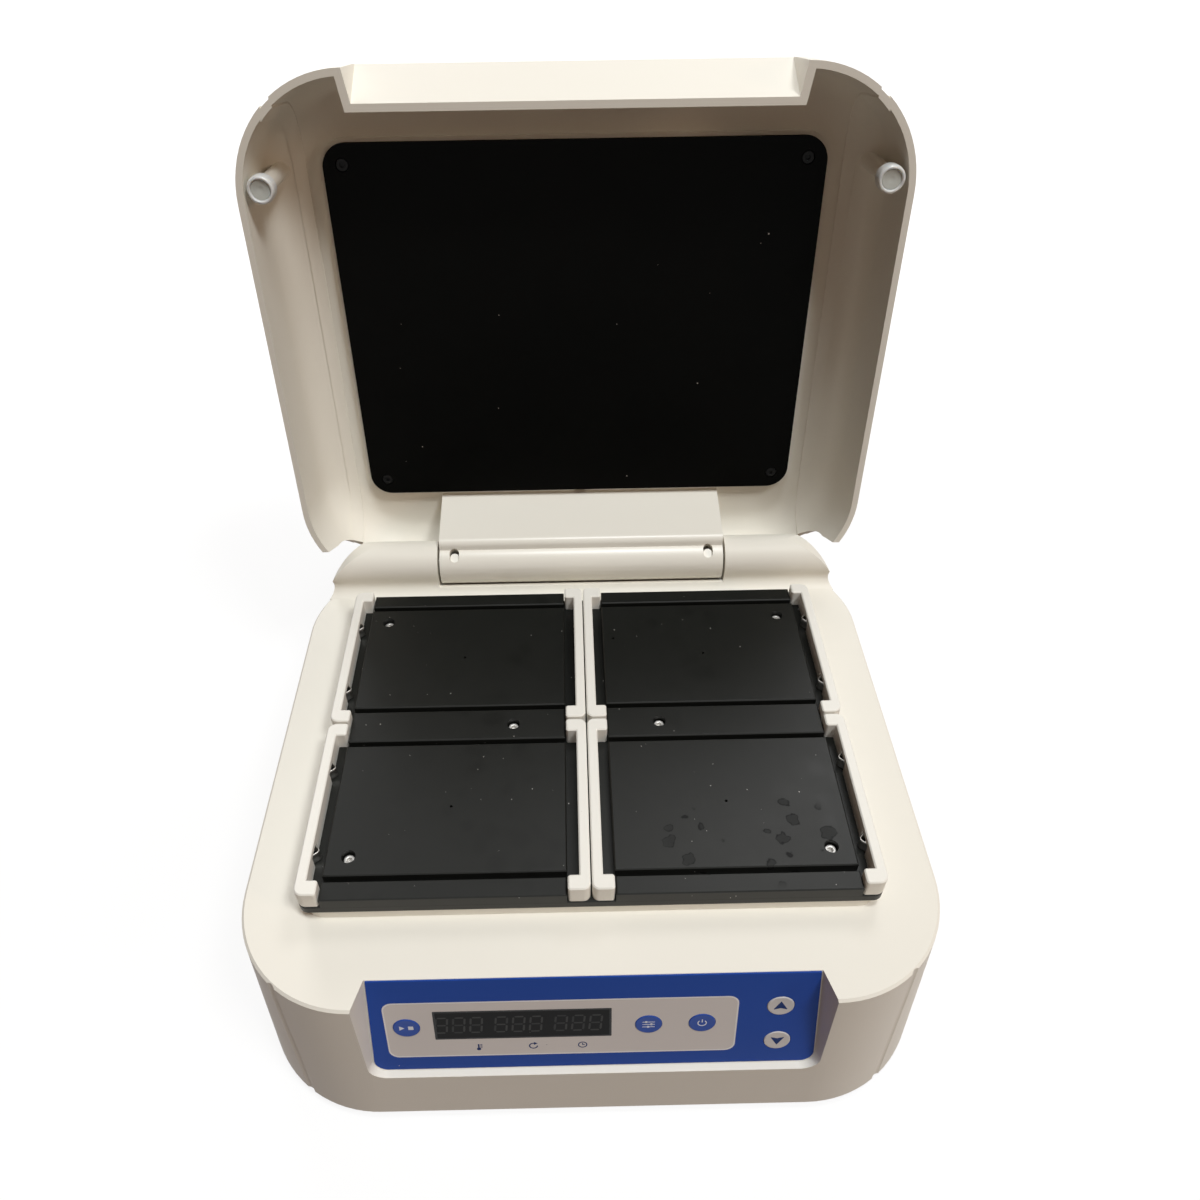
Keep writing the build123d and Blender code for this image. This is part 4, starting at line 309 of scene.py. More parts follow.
@dataclass(frozen=True)
class Finish:
    """One surface finish: a Principled shader with shared effects at their own strengths.

    Scales are in cells or waves per metre. A stain is its region's centre and reach in metres
    and the share of cells that have a blob.
    """

    slot: str
    colour: Colour
    tint: Colour
    roughness: float
    rough_spread: float = 0.08
    metallic: float = 0.0
    ior: float = 1.46
    specular: float = 0.5
    coat: float = 0.0
    coat_roughness: float = 0.1
    drift: float = 0.5
    drift_scale: float = 9.0
    grain: float = 0.0
    grain_scale: float = 1100.0
    brush: tuple[float, float] | None = None
    dust: float = 0.0
    dust_scale: float = 260.0
    dust_colour: Colour = (0.55, 0.53, 0.5)
    smudge: float = 0.0
    smudge_colour: Colour = (0.0, 0.0, 0.0)
    stains: tuple[tuple[Point, Point, float], ...] = ()
    stain_colour: Colour = (0.0, 0.0, 0.0)
    subsurface: float = 0.0
    transmission: float = 0.0

    SMUDGE_SCALE: ClassVar[float] = 14.0
    STAIN_SCALE: ClassVar[float] = 95.0
    FLECK_SIZE: ClassVar[float] = 0.085
    BRUSH_ROUGHER: ClassVar[float] = 0.1
    SMUDGE_SMOOTHER: ClassVar[float] = 0.12
    STAIN_ROUGHER: ClassVar[float] = 0.4
    BUMP: ClassVar[dict] = {"Strength": 0.35, "Distance": 0.00004}
    GLOW_THROUGH: ClassVar[dict] = {"Subsurface Radius": (1.0, 0.9, 0.8), "Subsurface Scale": 0.002}

    def build(self, name: str = "") -> Material:
        """Make the material.

        Args:
            name: the material's name, or nothing for the slot's.

        Returns:
            The material, which reads Object coordinates.
        """
        material = bpy.data.materials.new(name or "finish_" + self.slot)
        graph = Graph.of(material)
        place = graph.add("ShaderNodeTexCoord").outputs["Object"]
        colour = self.effect(graph, Effect.DRIFT, Vector=place, Colour=self.colour,
                             Tint=self.tint, Scale=self.drift_scale,
                             Amount=self.drift).outputs[0]
        uneven = graph.noise(place, self.drift_scale * 5.0, 4.0)
        rough = graph.plus(self.roughness - self.rough_spread / 2,
                           graph.times(uneven, self.rough_spread))
        height = None
        if self.grain:
            grain = self.effect(graph, Effect.GRAIN, Vector=place, Scale=self.grain_scale,
                                Depth=self.grain)
            height = grain.outputs["Height"]
        if self.brush:
            marks = self.effect(graph, Effect.BRUSH, Vector=place, Along=self.brush[0],
                                Across=self.brush[1])
            height = marks.outputs["Height"]
            rough = graph.plus(rough, graph.times(marks.outputs["Gloss"], self.BRUSH_ROUGHER))
        if self.smudge:
            mask = self.effect(graph, Effect.SMUDGE, Vector=place, Scale=self.SMUDGE_SCALE,
                               Share=self.smudge).outputs[0]
            colour = graph.mix(mask, colour, self.smudge_colour)
            rough = graph.maths("SUBTRACT", rough, graph.times(mask, self.SMUDGE_SMOOTHER))
        for centre, reach, share in self.stains:
            mask = self.effect(graph, Effect.STAIN, Vector=place, Centre=centre, Reach=reach,
                               Scale=self.STAIN_SCALE, Share=share).outputs[0]
            colour = graph.mix(mask, colour, self.stain_colour)
            rough = graph.plus(rough, graph.times(mask, self.STAIN_ROUGHER))
        if self.dust:
            mask = self.effect(graph, Effect.DUST, Vector=place, Scale=self.dust_scale,
                               Share=self.dust, Size=self.FLECK_SIZE).outputs[0]
            colour = graph.mix(mask, colour, self.dust_colour)
        shader = graph.add("ShaderNodeBsdfPrincipled", {
            "Base Color": colour, "Roughness": rough, "Metallic": self.metallic, "IOR": self.ior,
            "Specular IOR Level": self.specular, "Coat Weight": self.coat,
            "Coat Roughness": self.coat_roughness, "Subsurface Weight": self.subsurface,
            "Transmission Weight": self.transmission})
        if height is not None:
            bump = graph.add("ShaderNodeBump", {**self.BUMP, "Height": height})
            graph.feed(shader, "Normal", bump.outputs[0])
        if self.subsurface:
            for key, value in self.GLOW_THROUGH.items():
                shader.inputs[key].default_value = value
        graph.add("ShaderNodeOutputMaterial", {"Surface": shader.outputs[0]})
        material.diffuse_color = (*self.colour, 1.0)
        return material

    @staticmethod
    def effect(graph: Graph, which: Effect, **inputs) -> Node:
        """Place a shared effect in a material with its own values."""
        node = graph.add("ShaderNodeGroup")
        node.node_tree = bpy.data.node_groups[which.value]
        for name, value in inputs.items():
            graph.feed(node, name, value)
        return node


CREAM = (0.87, 0.84, 0.76)
CREAM_SHADE = (0.84, 0.80, 0.71)
BLUE = (0.012, 0.062, 0.35)

FINISHES = {f.slot: f for f in (
    Finish("casing", CREAM, CREAM_SHADE, 0.44, 0.06, drift=0.3, drift_scale=5.0, grain=0.5,
           ior=1.5, specular=0.2),
    Finish("sheet_steel", (0.56, 0.57, 0.58), (0.48, 0.5, 0.52), 0.38, metallic=1.0,
           brush=(60.0, 1500.0)),
    Finish("foot_rubber", (0.03, 0.03, 0.03), (0.05, 0.05, 0.048), 0.75, grain=1.0,
           grain_scale=700.0, dust=0.1, specular=0.3),
    Finish("screw_steel", (0.72, 0.70, 0.66), (0.58, 0.56, 0.53), 0.24, metallic=1.0,
           brush=(300.0, 2400.0), drift_scale=120.0),
    Finish("panel_blue", BLUE, (0.016, 0.074, 0.39), 0.42, 0.05, drift=0.4, grain=0.35,
           grain_scale=1600.0, specular=0.12, dust=0.02),
    Finish("field_silver", (0.68, 0.635, 0.61), (0.63, 0.59, 0.565), 0.4, 0.05, drift=0.5,
           grain=0.35, grain_scale=1600.0, specular=0.5, dust=0.03,
           dust_colour=(0.3, 0.28, 0.26)),
    Finish("display_dark", (0.0022, 0.0020, 0.0020), (0.0045, 0.0042, 0.004), 0.3, 0.05, ior=1.5,
           specular=0.07, dust=0.06, smudge=0.3, smudge_colour=(0.014, 0.014, 0.0135)),
    Finish("board_green", (0.02, 0.13, 0.05), (0.015, 0.09, 0.04), 0.4, coat=0.3, grain=0.5,
           grain_scale=500.0),
    Finish("black_plastic", (0.016, 0.016, 0.017), (0.026, 0.026, 0.026), 0.45, grain=0.8,
           grain_scale=900.0, dust=0.05, specular=0.35),
    Finish("frame_aluminium", (0.66, 0.67, 0.69), (0.58, 0.59, 0.61), 0.34, metallic=1.0,
           brush=(50.0, 1700.0)),
    Finish("motor_paint", (0.03, 0.03, 0.033), (0.045, 0.045, 0.05), 0.4, grain=0.7),
    Finish("belt_rubber", (0.02, 0.02, 0.02), (0.035, 0.035, 0.035), 0.7, grain=0.8),
    Finish("brass_weight", (0.68, 0.48, 0.2), (0.55, 0.38, 0.15), 0.3, metallic=1.0,
           brush=(200.0, 1600.0)),
    Finish("bearing_steel", (0.62, 0.62, 0.63), (0.52, 0.52, 0.54), 0.2, metallic=1.0,
           brush=(400.0, 2000.0)),
    Finish("insulation", (0.62, 0.57, 0.46), (0.5, 0.45, 0.35), 0.85, grain=1.2,
           grain_scale=350.0),
    Finish("heater_rubber", (0.42, 0.09, 0.03), (0.33, 0.07, 0.02), 0.6, grain=1.0,
           grain_scale=600.0),
    Finish("block_black", (0.0085, 0.0088, 0.0075), (0.0115, 0.012, 0.0102), 0.38, 0.06, ior=1.5,
           specular=0.26, drift=0.7, drift_scale=14.0, grain=0.5, grain_scale=1500.0, dust=0.08,
           dust_scale=380.0, smudge=0.35, smudge_colour=(0.004, 0.004, 0.0035),
           stain_colour=(0.0005, 0.0005, 0.0004),
           stains=(((0.080, -0.076, 0.1314), (0.052, 0.030, 0.02), 0.74),
                   ((-0.060, -0.068, 0.1314), (0.009, 0.006, 0.02), 1.0))),
    Finish("lining_black", (0.0012, 0.0012, 0.0009), (0.0032, 0.0032, 0.0028), 0.5, 0.08, ior=1.4,
           specular=0.05, drift=0.6, grain=0.6, grain_scale=1300.0, dust=0.03),
    Finish("dark_screw", (0.006, 0.006, 0.006), (0.012, 0.012, 0.011), 0.42, specular=0.12,
           drift_scale=150.0),
    Finish("bumper_silicone", (0.86, 0.87, 0.86), (0.76, 0.78, 0.77), 0.3, ior=1.41,
           drift_scale=80.0, subsurface=0.5, transmission=0.2, coat=0.2),
    Finish("bracket_white", (0.89, 0.87, 0.81), (0.85, 0.82, 0.74), 0.42, 0.06, ior=1.5,
           specular=0.35, drift=0.35, drift_scale=22.0, grain=0.4, dust=0.02,
           dust_colour=(0.5, 0.45, 0.35)),
    Finish("spring_steel", (0.56, 0.54, 0.5), (0.40, 0.38, 0.35), 0.28, metallic=1.0,
           brush=(1200.0, 500.0), drift_scale=60.0),
    Finish("key_blue", BLUE, (0.016, 0.074, 0.39), 0.4, 0.05, grain=0.35, specular=0.3,
           drift_scale=60.0),
    Finish("key_light", (0.66, 0.63, 0.62), (0.60, 0.575, 0.56), 0.4, 0.05, grain=0.35,
           specular=0.35, drift_scale=60.0),
)}
# Lighter grey for the block's rolled edges: a painted highlight along the edges, not a colour that
# the block has.
BLOCK_EDGE_HIGHLIGHT = Finish("block_black", (0.11, 0.11, 0.105), (0.05, 0.05, 0.048), 0.42, ior=1.5,
                    specular=0.35, drift=0.8, drift_scale=60.0)
# Lighter black for the lining plate's rolled edges: a painted highlight along the edges.
LINING_EDGE_HIGHLIGHT = Finish("lining_black", (0.012, 0.012, 0.011), (0.006, 0.006, 0.006), 0.5,
                     specular=0.15, drift=0.8, drift_scale=60.0)
PRINT_WHITE = Finish("field_silver", (0.82, 0.84, 0.88), (0.74, 0.76, 0.8), 0.45)
PRINT_BLUE = Finish("panel_blue", (0.008, 0.028, 0.13), (0.012, 0.038, 0.17), 0.45, specular=0.1)
FIELD_RIM = Finish("field_silver", (0.86, 0.84, 0.83), (0.78, 0.76, 0.75), 0.4)
ARM_GLOSS = Finish("casing", CREAM, CREAM_SHADE, 0.3, 0.05, ior=1.5, specular=0.5, drift=0.3,
                   drift_scale=5.0, grain=0.25)
SCREW_HEAD = Finish("screw_steel", (0.62, 0.60, 0.57), (0.45, 0.43, 0.41), 0.42, metallic=1.0,
                    brush=(300.0, 2400.0), drift_scale=120.0)
SEGMENT = Finish("display_dark", (0.019, 0.0185, 0.0175), (0.013, 0.0125, 0.012), 0.4,
                 drift=1.0, drift_scale=160.0, specular=0.2)
SEGMENT_OFF = Finish("display_dark", (0.008, 0.0078, 0.0075), (0.005, 0.0048, 0.0046), 0.4,
                     drift=1.0, drift_scale=160.0, specular=0.2)
DISPLAY_RIM = Finish("black_plastic", (0.008, 0.008, 0.009), (0.012, 0.012, 0.013), 0.5,
                     specular=0.3)
BUMPER_CORE = Finish("bumper_silicone", (0.58, 0.60, 0.56), (0.47, 0.49, 0.46), 0.42, ior=1.41,
                     drift_scale=120.0, subsurface=0.2)
CONTACT = Finish("screw_steel", (0.7, 0.66, 0.58), (0.6, 0.56, 0.48), 0.25, metallic=1.0)


# ------ numpy shapes
@dataclass(frozen=True)
class Place:
    """A local frame: where its origin is and how its axes point."""

    origin: Point = (0.0, 0.0, 0.0)
    x: Point = (1.0, 0.0, 0.0)
    y: Point = (0.0, 1.0, 0.0)
    z: Point = (0.0, 0.0, 1.0)

    def put(self, points: np.ndarray) -> np.ndarray:
        """Return local points in the shared frame: origin plus each coordinate times its axis."""
        return np.asarray(self.origin) + points @ np.array([self.x, self.y, self.z])

    def moved(self, x: float, y: float, z: float = 0.0) -> "Place":
        """Return the same frame with its origin at a local point."""
        return Place(tuple(self.put(np.array([x, y, z]))), self.x, self.y, self.z)

    def tilted(self, angle: float) -> "Place":
        """Return the frame turned about its own x axis: y goes towards z."""
        y, z = np.array(self.y), np.array(self.z)
        cos, sin = math.cos(angle), math.sin(angle)
        return Place(self.origin, self.x, tuple(cos * y + sin * z), tuple(cos * z - sin * y))

    def flipped(self) -> "Place":
        """Return the frame turned half round its own x axis."""
        return self.tilted(math.pi)


def circle(radius: float, steps: int, sides: int = 0) -> np.ndarray:
    """Closed outline about the origin.

    The radius is constant, or with sides it is the polygon's inner radius over the cosine of
    the angle to the middle of the nearest side.

    Args:
        radius: radius of the circle, or inner radius of the polygon.
        steps: number of points.
        sides: number of sides, or 0 for a circle.

    Returns:
        An array of shape (steps, 2).
    """
    angle = np.linspace(0.0, 2.0 * np.pi, steps, endpoint=False)
    reach = np.full(steps, radius)
    if sides:
        wedge = 2.0 * np.pi / sides
        reach = radius / np.cos((angle + wedge / 2.0) % wedge - wedge / 2.0)
    return np.stack([reach * np.cos(angle), reach * np.sin(angle)], axis=1)


def rounded_box(half_x: float, half_y: float, radius: float, steps: int = 6) -> np.ndarray:
    """Rectangle with round corners: a quarter circle about each inset corner, to the left round.

    Args:
        half_x: half its width.
        half_y: half its height.
        radius: radius of its corners.
        steps: points in each corner.

    Returns:
        An array of shape (4 * steps, 2).
    """
    turn = np.linspace(0.0, np.pi / 2.0, steps)
    angle = (turn[None, :] + np.arange(4)[:, None] * np.pi / 2.0).ravel()
    side = np.repeat(np.array([(1, 1), (-1, 1), (-1, -1), (1, -1)]), steps, axis=0)
    inset = side * np.array([half_x - radius, half_y - radius])
    return inset + radius * np.stack([np.cos(angle), np.sin(angle)], axis=1)


def stroke(path: list[tuple[float, float]], width: float) -> np.ndarray:
    """Outline of a line of one width: each point of the path moved half a width to both sides.

    Args:
        path: points of the line.
        width: its width.

    Returns:
        An array of shape (2 * points, 2), to the left round.
    """
    points = np.asarray(path, float)
    way = np.gradient(points, axis=0)
    way /= np.linalg.norm(way, axis=1)[:, None]
    side = np.stack([way[:, 1], -way[:, 0]], axis=1) * width / 2.0
    return np.concatenate([points + side, (points - side)[::-1]])


def arc(radius: float, start_deg: float, end_deg: float, steps: int = 17,
        centre: tuple[float, float] = (0.0, 0.0)) -> list[tuple[float, float]]:
    """Points of a circular arc: centre plus radius times cosine and sine of the angle."""
    angle = np.radians(np.linspace(start_deg, end_deg, steps))
    return [(centre[0] + radius * math.cos(a), centre[1] + radius * math.sin(a)) for a in angle]


def stack_rings(outlines: list[np.ndarray], heights: list[float]) -> np.ndarray:
    """Put flat outlines at heights: the points of a surface in (ring, step).

    Args:
        outlines: arrays of shape (steps, 2), one for each ring.
        heights: z of each ring.

    Returns:
        An array of shape (rings, steps, 3).
    """
    flat = np.stack(outlines)
    z = np.broadcast_to(np.asarray(heights)[:, None, None], (*flat.shape[:2], 1))
    return np.concatenate([flat, z], axis=2)


def turned(profile: Profile, steps: int) -> np.ndarray:
    """Surface of revolution: each profile point (radius, z) carried round the z axis."""
    return stack_rings([circle(r, steps) for r, _ in profile], [z for _, z in profile])


def ring_faces(rings: int, steps: int) -> list[list[int]]:
    """Faces of a tube of rings whose ends are closed by one face each.

    Args:
        rings: number of rings.
        steps: points in each ring.

    Returns:
        Lists of vertex numbers that face outwards when the rings turn to the left going up.
    """
    i, j = np.meshgrid(np.arange(rings - 1), np.arange(steps), indexing="ij")
    on = (j + 1) % steps
    quads = np.stack([i * steps + j, i * steps + on, (i + 1) * steps + on, (i + 1) * steps + j],
                     axis=-1)
    faces = quads.reshape(-1, 4).tolist()
    faces.append(list(range(steps))[::-1])
    faces.append(list(range((rings - 1) * steps, rings * steps)))
    return faces


@dataclass
class Piece:
    """A visible piece: closed surfaces that ride on a CAD body with one finish."""

    name: str
    body: str
    finish: Finish
    replaces: tuple[str, ...] = ()
    sharp_deg: float = 35.0
    parts: list[tuple[np.ndarray, list]] = field(default_factory=list)

    def tube(self, rings: np.ndarray, place: Place = Place()) -> None:
        """Add a tube of rings.

        Args:
            rings: points of shape (rings, steps, 3).
            place: frame that the points are in.
        """
        self.parts.append((place.put(rings.reshape(-1, 3)), ring_faces(*rings.shape[:2])))

    def slab(self, outline: np.ndarray, place: Place, low: float, high: float) -> None:
        """Add a thin plate: the outline at one height and again at another."""
        self.tube(stack_rings([outline, outline], [low, high]), place)

    def ring(self, rings: np.ndarray, place: Place) -> None:
        """Add a closed loop of rings, whose last ring joins the first."""
        rings = np.concatenate([rings, rings[:1]])
        self.parts.append((place.put(rings.reshape(-1, 3)), ring_faces(*rings.shape[:2])[:-2]))

    def border(self, half: tuple[float, float], corner: float, width: float, place: Place,
               low: float, high: float) -> None:
        """Add a flat frame along a rounded rectangle.

        Args:
            half: half the rectangle's width and height.
            corner: radius of its corners.
            width: width of the frame, inwards.
            place: frame whose origin is the rectangle's middle.
            low: height of the frame's underside.
            high: height of its top.
        """
        outer = rounded_box(*half, corner)
        inner = rounded_box(half[0] - width, half[1] - width, corner - width / 2)
        self.ring(stack_rings([outer, outer, inner, inner], [low, high, high, low]), place)

    def finish_up(self) -> Object:
        """Join the surfaces into one object, dress it and put it on its body."""
        points, faces, start = [], [], 0
        for part, part_faces in self.parts:
            points.append(part)
            faces += [[start + v for v in f] for f in part_faces]
            start += len(part)
        mesh = bpy.data.meshes.new(self.name)
        mesh.from_pydata(np.concatenate(points) * MM, [], faces)
        mesh.update()
        mesh.shade_smooth()
        mesh.set_sharp_from_angle(angle=math.radians(self.sharp_deg))
        mesh.materials.append(self.finish.build("finish_" + self.name))
        return settle(shown(self.name, mesh), self.body, self.replaces)


def shown(name: str, data: ID) -> Object:
    """Make an object of the data and link it to the scene."""
    made = bpy.data.objects.new(name, data)
    bpy.context.scene.collection.objects.link(made)
    return made


def settle(piece: Object, body: str,
           replaced: tuple[str, ...]) -> Object:
    """Put a piece on its body and hide what it stands for."""
    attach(piece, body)
    if replaced:
        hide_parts(*replaced)
    LOG.info("piece %s: %d faces on %s", piece.name, len(piece.data.polygons), body)
    return piece


# ------ rounded copies of CAD nodes
def read(items: bpy.types.bpy_prop_collection, name: str, kind: type = np.int32,
         width: int = 1) -> np.ndarray:
    """Return one property of every item as an array, in rows where it has several numbers."""
    values = np.empty(len(items) * width, kind)
    items.foreach_get(name, values)
    return values.reshape(-1, width) if width > 1 else values


@dataclass(frozen=True)
class Rounded:
    """A copy of a CAD node with its sharp edges rolled off, which takes the node's place."""

    name: str
    node: str
    body: str
    finish: Finish
    width: float
    # finish of the new edge faces; where given it is lighter and paints a highlight along the
    # rolled edges
    edge_highlight: Finish | None = None
    sharp_deg: float = 28.0
    least: float = 0.0

    def build(self) -> Object:
        """Merge the copy, bevel its sharp edges, keep the CAD's own shading and dress it."""
        mesh = frame["nodes"][self.node].data.copy()
        mesh.name = self.name
        self.keep_normals(mesh)
        work = bmesh.new()
        work.from_mesh(mesh)
        bmesh.ops.remove_doubles(work, verts=work.verts, dist=1e-6)
        bmesh.ops.dissolve_limit(work, angle_limit=math.radians(0.3), verts=work.verts,
                                 edges=work.edges)
        for face in work.faces:
            face.material_index, face.smooth = 0, True
        sharp = [e for e in work.edges if e.is_manifold
                 and e.calc_face_angle(0.0) > math.radians(self.sharp_deg)
                 and e.calc_length() > self.least * MM]
        bmesh.ops.bevel(work, geom=sharp, offset=self.width * MM, offset_type="OFFSET", segments=2,
                        profile=0.5, affect="EDGES", clamp_overlap=True, material=1)
        for edge in work.edges:
            edge.smooth = True
        work.to_mesh(mesh)
        work.free()
        self.shade(mesh)
        mesh.materials.clear()
        mesh.materials.append(self.finish.build("finish_" + self.name))
        # The edge faces take their own finish where one is given: a painted highlight along the
        # rolled edges.
        mesh.materials.append(self.edge_highlight.build("edge_highlight_" + self.name) if self.edge_highlight
                              else mesh.materials[0])
        return settle(shown(self.name, mesh), self.body, (self.node,))

    @staticmethod
    def keep_normals(mesh: Mesh) -> None:
        """Write each corner's own normal into an attribute that the edits carry along."""
        normals = read(mesh.corner_normals, "vector", np.float32, 3)
        kept = mesh.attributes.new("kept", "FLOAT_VECTOR", "CORNER")
        kept.data.foreach_set("vector", normals.ravel())
        if "custom_normal" in mesh.attributes:
            mesh.attributes.remove(mesh.attributes["custom_normal"])

    @staticmethod
    def shade(mesh: Mesh) -> None:
        """Give corners their kept normals, and blend them across the new edge faces.

        A corner of an edge face takes the mean of the kept normals that the old faces have at
        its point, or, where no old face touches it, the mean of all kept normals there.
        """
        kept = read(mesh.attributes["kept"].data, "vector", np.float32, 3)
        point = read(mesh.loops, "vertex_index")
        rim = np.repeat(read(mesh.polygons, "material_index") == 1,
                        read(mesh.polygons, "loop_total"))
        old, new = (np.zeros((len(mesh.vertices), 3)) for _ in range(2))
        np.add.at(old, point[~rim], kept[~rim])
        np.add.at(new, point[rim], kept[rim])
        touched = np.linalg.norm(old, axis=1) > 1e-6
        mean = np.where(touched[:, None], old, new)
        kept[rim] = mean[point[rim]]
        length = np.linalg.norm(kept, axis=1)[:, None]
        mesh.attributes.remove(mesh.attributes["kept"])
        mesh.normals_split_custom_set(kept / np.maximum(length, 1e-9))


# ------ CAD finishes
class CadNodes:
    """Dresses the CAD nodes that stay as they are."""

    def __init__(self) -> None:
        """Read each node's slot from the record."""
        rows = frame["record"]["subparts"]
        self.slots = {row["node"]: row["material_slot"] for row in rows}
        self.materials: dict[str, Material] = {}

    def dress(self) -> None:
        """Give every CAD node the material of its slot."""
        for name, node in frame["nodes"].items():
            slot = self.slots[name]
            if slot not in self.materials:
                self.materials[slot] = FINISHES[slot].build()
            node.data.materials.clear()
            node.data.materials.append(self.materials[slot])
            LOG.info("node %s in %s", name, slot)


@dataclass(frozen=True)
class SocketScrew:
    """Cap screw with a hexagon socket; its head stands on z = 0 and points up."""

    head_r: float
    head: float
    shank_r: float
    shank: float
    socket_r: float
    edge: float = 0.25
    lip: float = 0.12
    floor: float = 0.15

    def rings(self, steps: int = 36) -> np.ndarray:
        """Profile carried round z, whose socket rings are hexagons instead of circles."""
        outside = [(self.shank_r, -self.shank), (self.shank_r, -self.edge), (self.shank_r, 0.0),
                   (self.head_r - self.edge / 2, 0.0), (self.head_r, self.edge / 2),
                   (self.head_r, self.head - self.edge),
                   (self.head_r - self.edge * 0.3, self.head - self.edge * 0.3),
                   (self.head_r - self.edge, self.head)]
        outlines = [circle(r, steps) for r, _ in outside]
        outlines.append(circle(self.socket_r + self.lip, steps))
        outlines += [circle(self.socket_r * math.cos(math.pi / 6), steps, 6)] * 2
        socket = [self.head, self.head - self.lip, self.head * self.floor]
        return stack_rings(outlines, [z for _, z in outside] + socket)


# ------ casing
DECK_Z, DECK_HALF_Y = 114.0, 151.0
WALL_HEIGHT, WALL_DRAFT = 104.0, 7.2


def rear_wall(x: float, z: float) -> Place:
    """Frame on the outer face of the rear wall: x to its right seen from behind, z outwards."""
    lean = math.atan2(WALL_DRAFT, WALL_HEIGHT)
    y = DECK_HALF_Y + WALL_DRAFT * (DECK_Z - z) / WALL_HEIGHT
    cos, sin = math.cos(lean), math.sin(lean)
    return Place((x, y, z), (-1.0, 0.0, 0.0), (0.0, -sin, cos), (0.0, cos, sin))


@dataclass
class Casing:
    """Moulded casing with its feet, inlet and switch."""

    edge: float = 0.45
    foot_at: tuple[float, float] = (132.0, 112.0)
    foot_profile: Profile = ((2.3, 5.0), (6.0, 5.0), (6.0, 0.6), (6.6, 0.0), (10.4, 0.0),
                             (11.0, 0.15), (11.35, 0.7), (12.8, 9.4), (12.75, 10.0),
                             (12.4, 10.45), (2.3, 10.5))
    inlet_at: tuple[float, float] = (72.0, 58.0)
    blades: Profile = ((-7.0, -15.0), (7.0, -15.0), (0.0, -11.0))
    blade: tuple[float, float] = (2.1, 4.1)
    blade_depth: tuple[float, float] = (-13.4, -1.35)
    blade_taper: tuple[float, float] = (0.3, 0.8)
    rocker_v: float = 15.0
    rocker_pivot: float = -3.0
    rocker_rest_deg: float = -8.0
    mark_at: tuple[float, float] = (5.0, 6.78)
    mark_lean_deg: float = 9.9
    bar_half: tuple[float, float] = (0.35, 1.8)
    ring_r: float = 1.6
    ring_line: float = 0.6
    print_thick: float = 0.12

    def feet(self) -> None:
        """Turn the four rubber feet from their profile."""
        piece = Piece("rubber_feet", "base", FINISHES["foot_rubber"], ("feet",))
        for sx, sy in STATIONS.values():
            place = Place((sx * self.foot_at[0], sy * self.foot_at[1], 0.0))
            piece.ring(turned(self.foot_profile, 48), place)
        piece.finish_up()

    def inlet(self) -> None:
        """Sleeve the inlet's blades in plated metal with a tapered tip."""
        wall = rear_wall(*self.inlet_at)
        piece = Piece("inlet_blades", "base", CONTACT)
        (low, high), (inset, tip) = self.blade_depth, self.blade_taper
        half_x, half_y = (s / 2 for s in self.blade)
        wide, narrow = (rounded_box(half_x - t, half_y - t, 0.2) for t in (0.0, inset))
        for x, y in self.blades:
            piece.tube(stack_rings([wide, wide, narrow], [low, high - tip, high]), wall.moved(x, y))
        piece.finish_up()

    def rocker_marks(self) -> None:
        """Print a bar and a ring, for on and off, in the hollow of the rocker."""
        wall = rear_wall(*self.inlet_at)
        rocker = wall.moved(0.0, self.rocker_v, self.rocker_pivot)
        rocker = rocker.tilted(math.radians(self.rocker_rest_deg))
        piece = Piece("rocker_marks", "rocker", PRINT_WHITE)
        upper, lower = (rocker.moved(0.0, s * self.mark_at[0], self.mark_at[1]).tilted(
            s * math.radians(self.mark_lean_deg)) for s in (1, -1))
        piece.slab(rounded_box(*self.bar_half, 0.1), upper, 0.0, self.print_thick)
        for half in (0, 180):
            outline = stroke(arc(self.ring_r, half, half + 180), self.ring_line)
            piece.slab(outline, lower, 0.0, self.print_thick)
        piece.finish_up()

    def build(self) -> None:
        """Make the casing and what is fixed to it."""
        Rounded("casing_moulding", "top_casing", "base", FINISHES["casing"], self.edge).build()
        Rounded("inlet_moulding", "power_inlet", "base", FINISHES["black_plastic"], 0.3).build()
        Rounded("rocker_moulding", "switch_rocker", "rocker", FINISHES["black_plastic"],
                0.4).build()
        self.feet()
        self.inlet()
        self.rocker_marks()


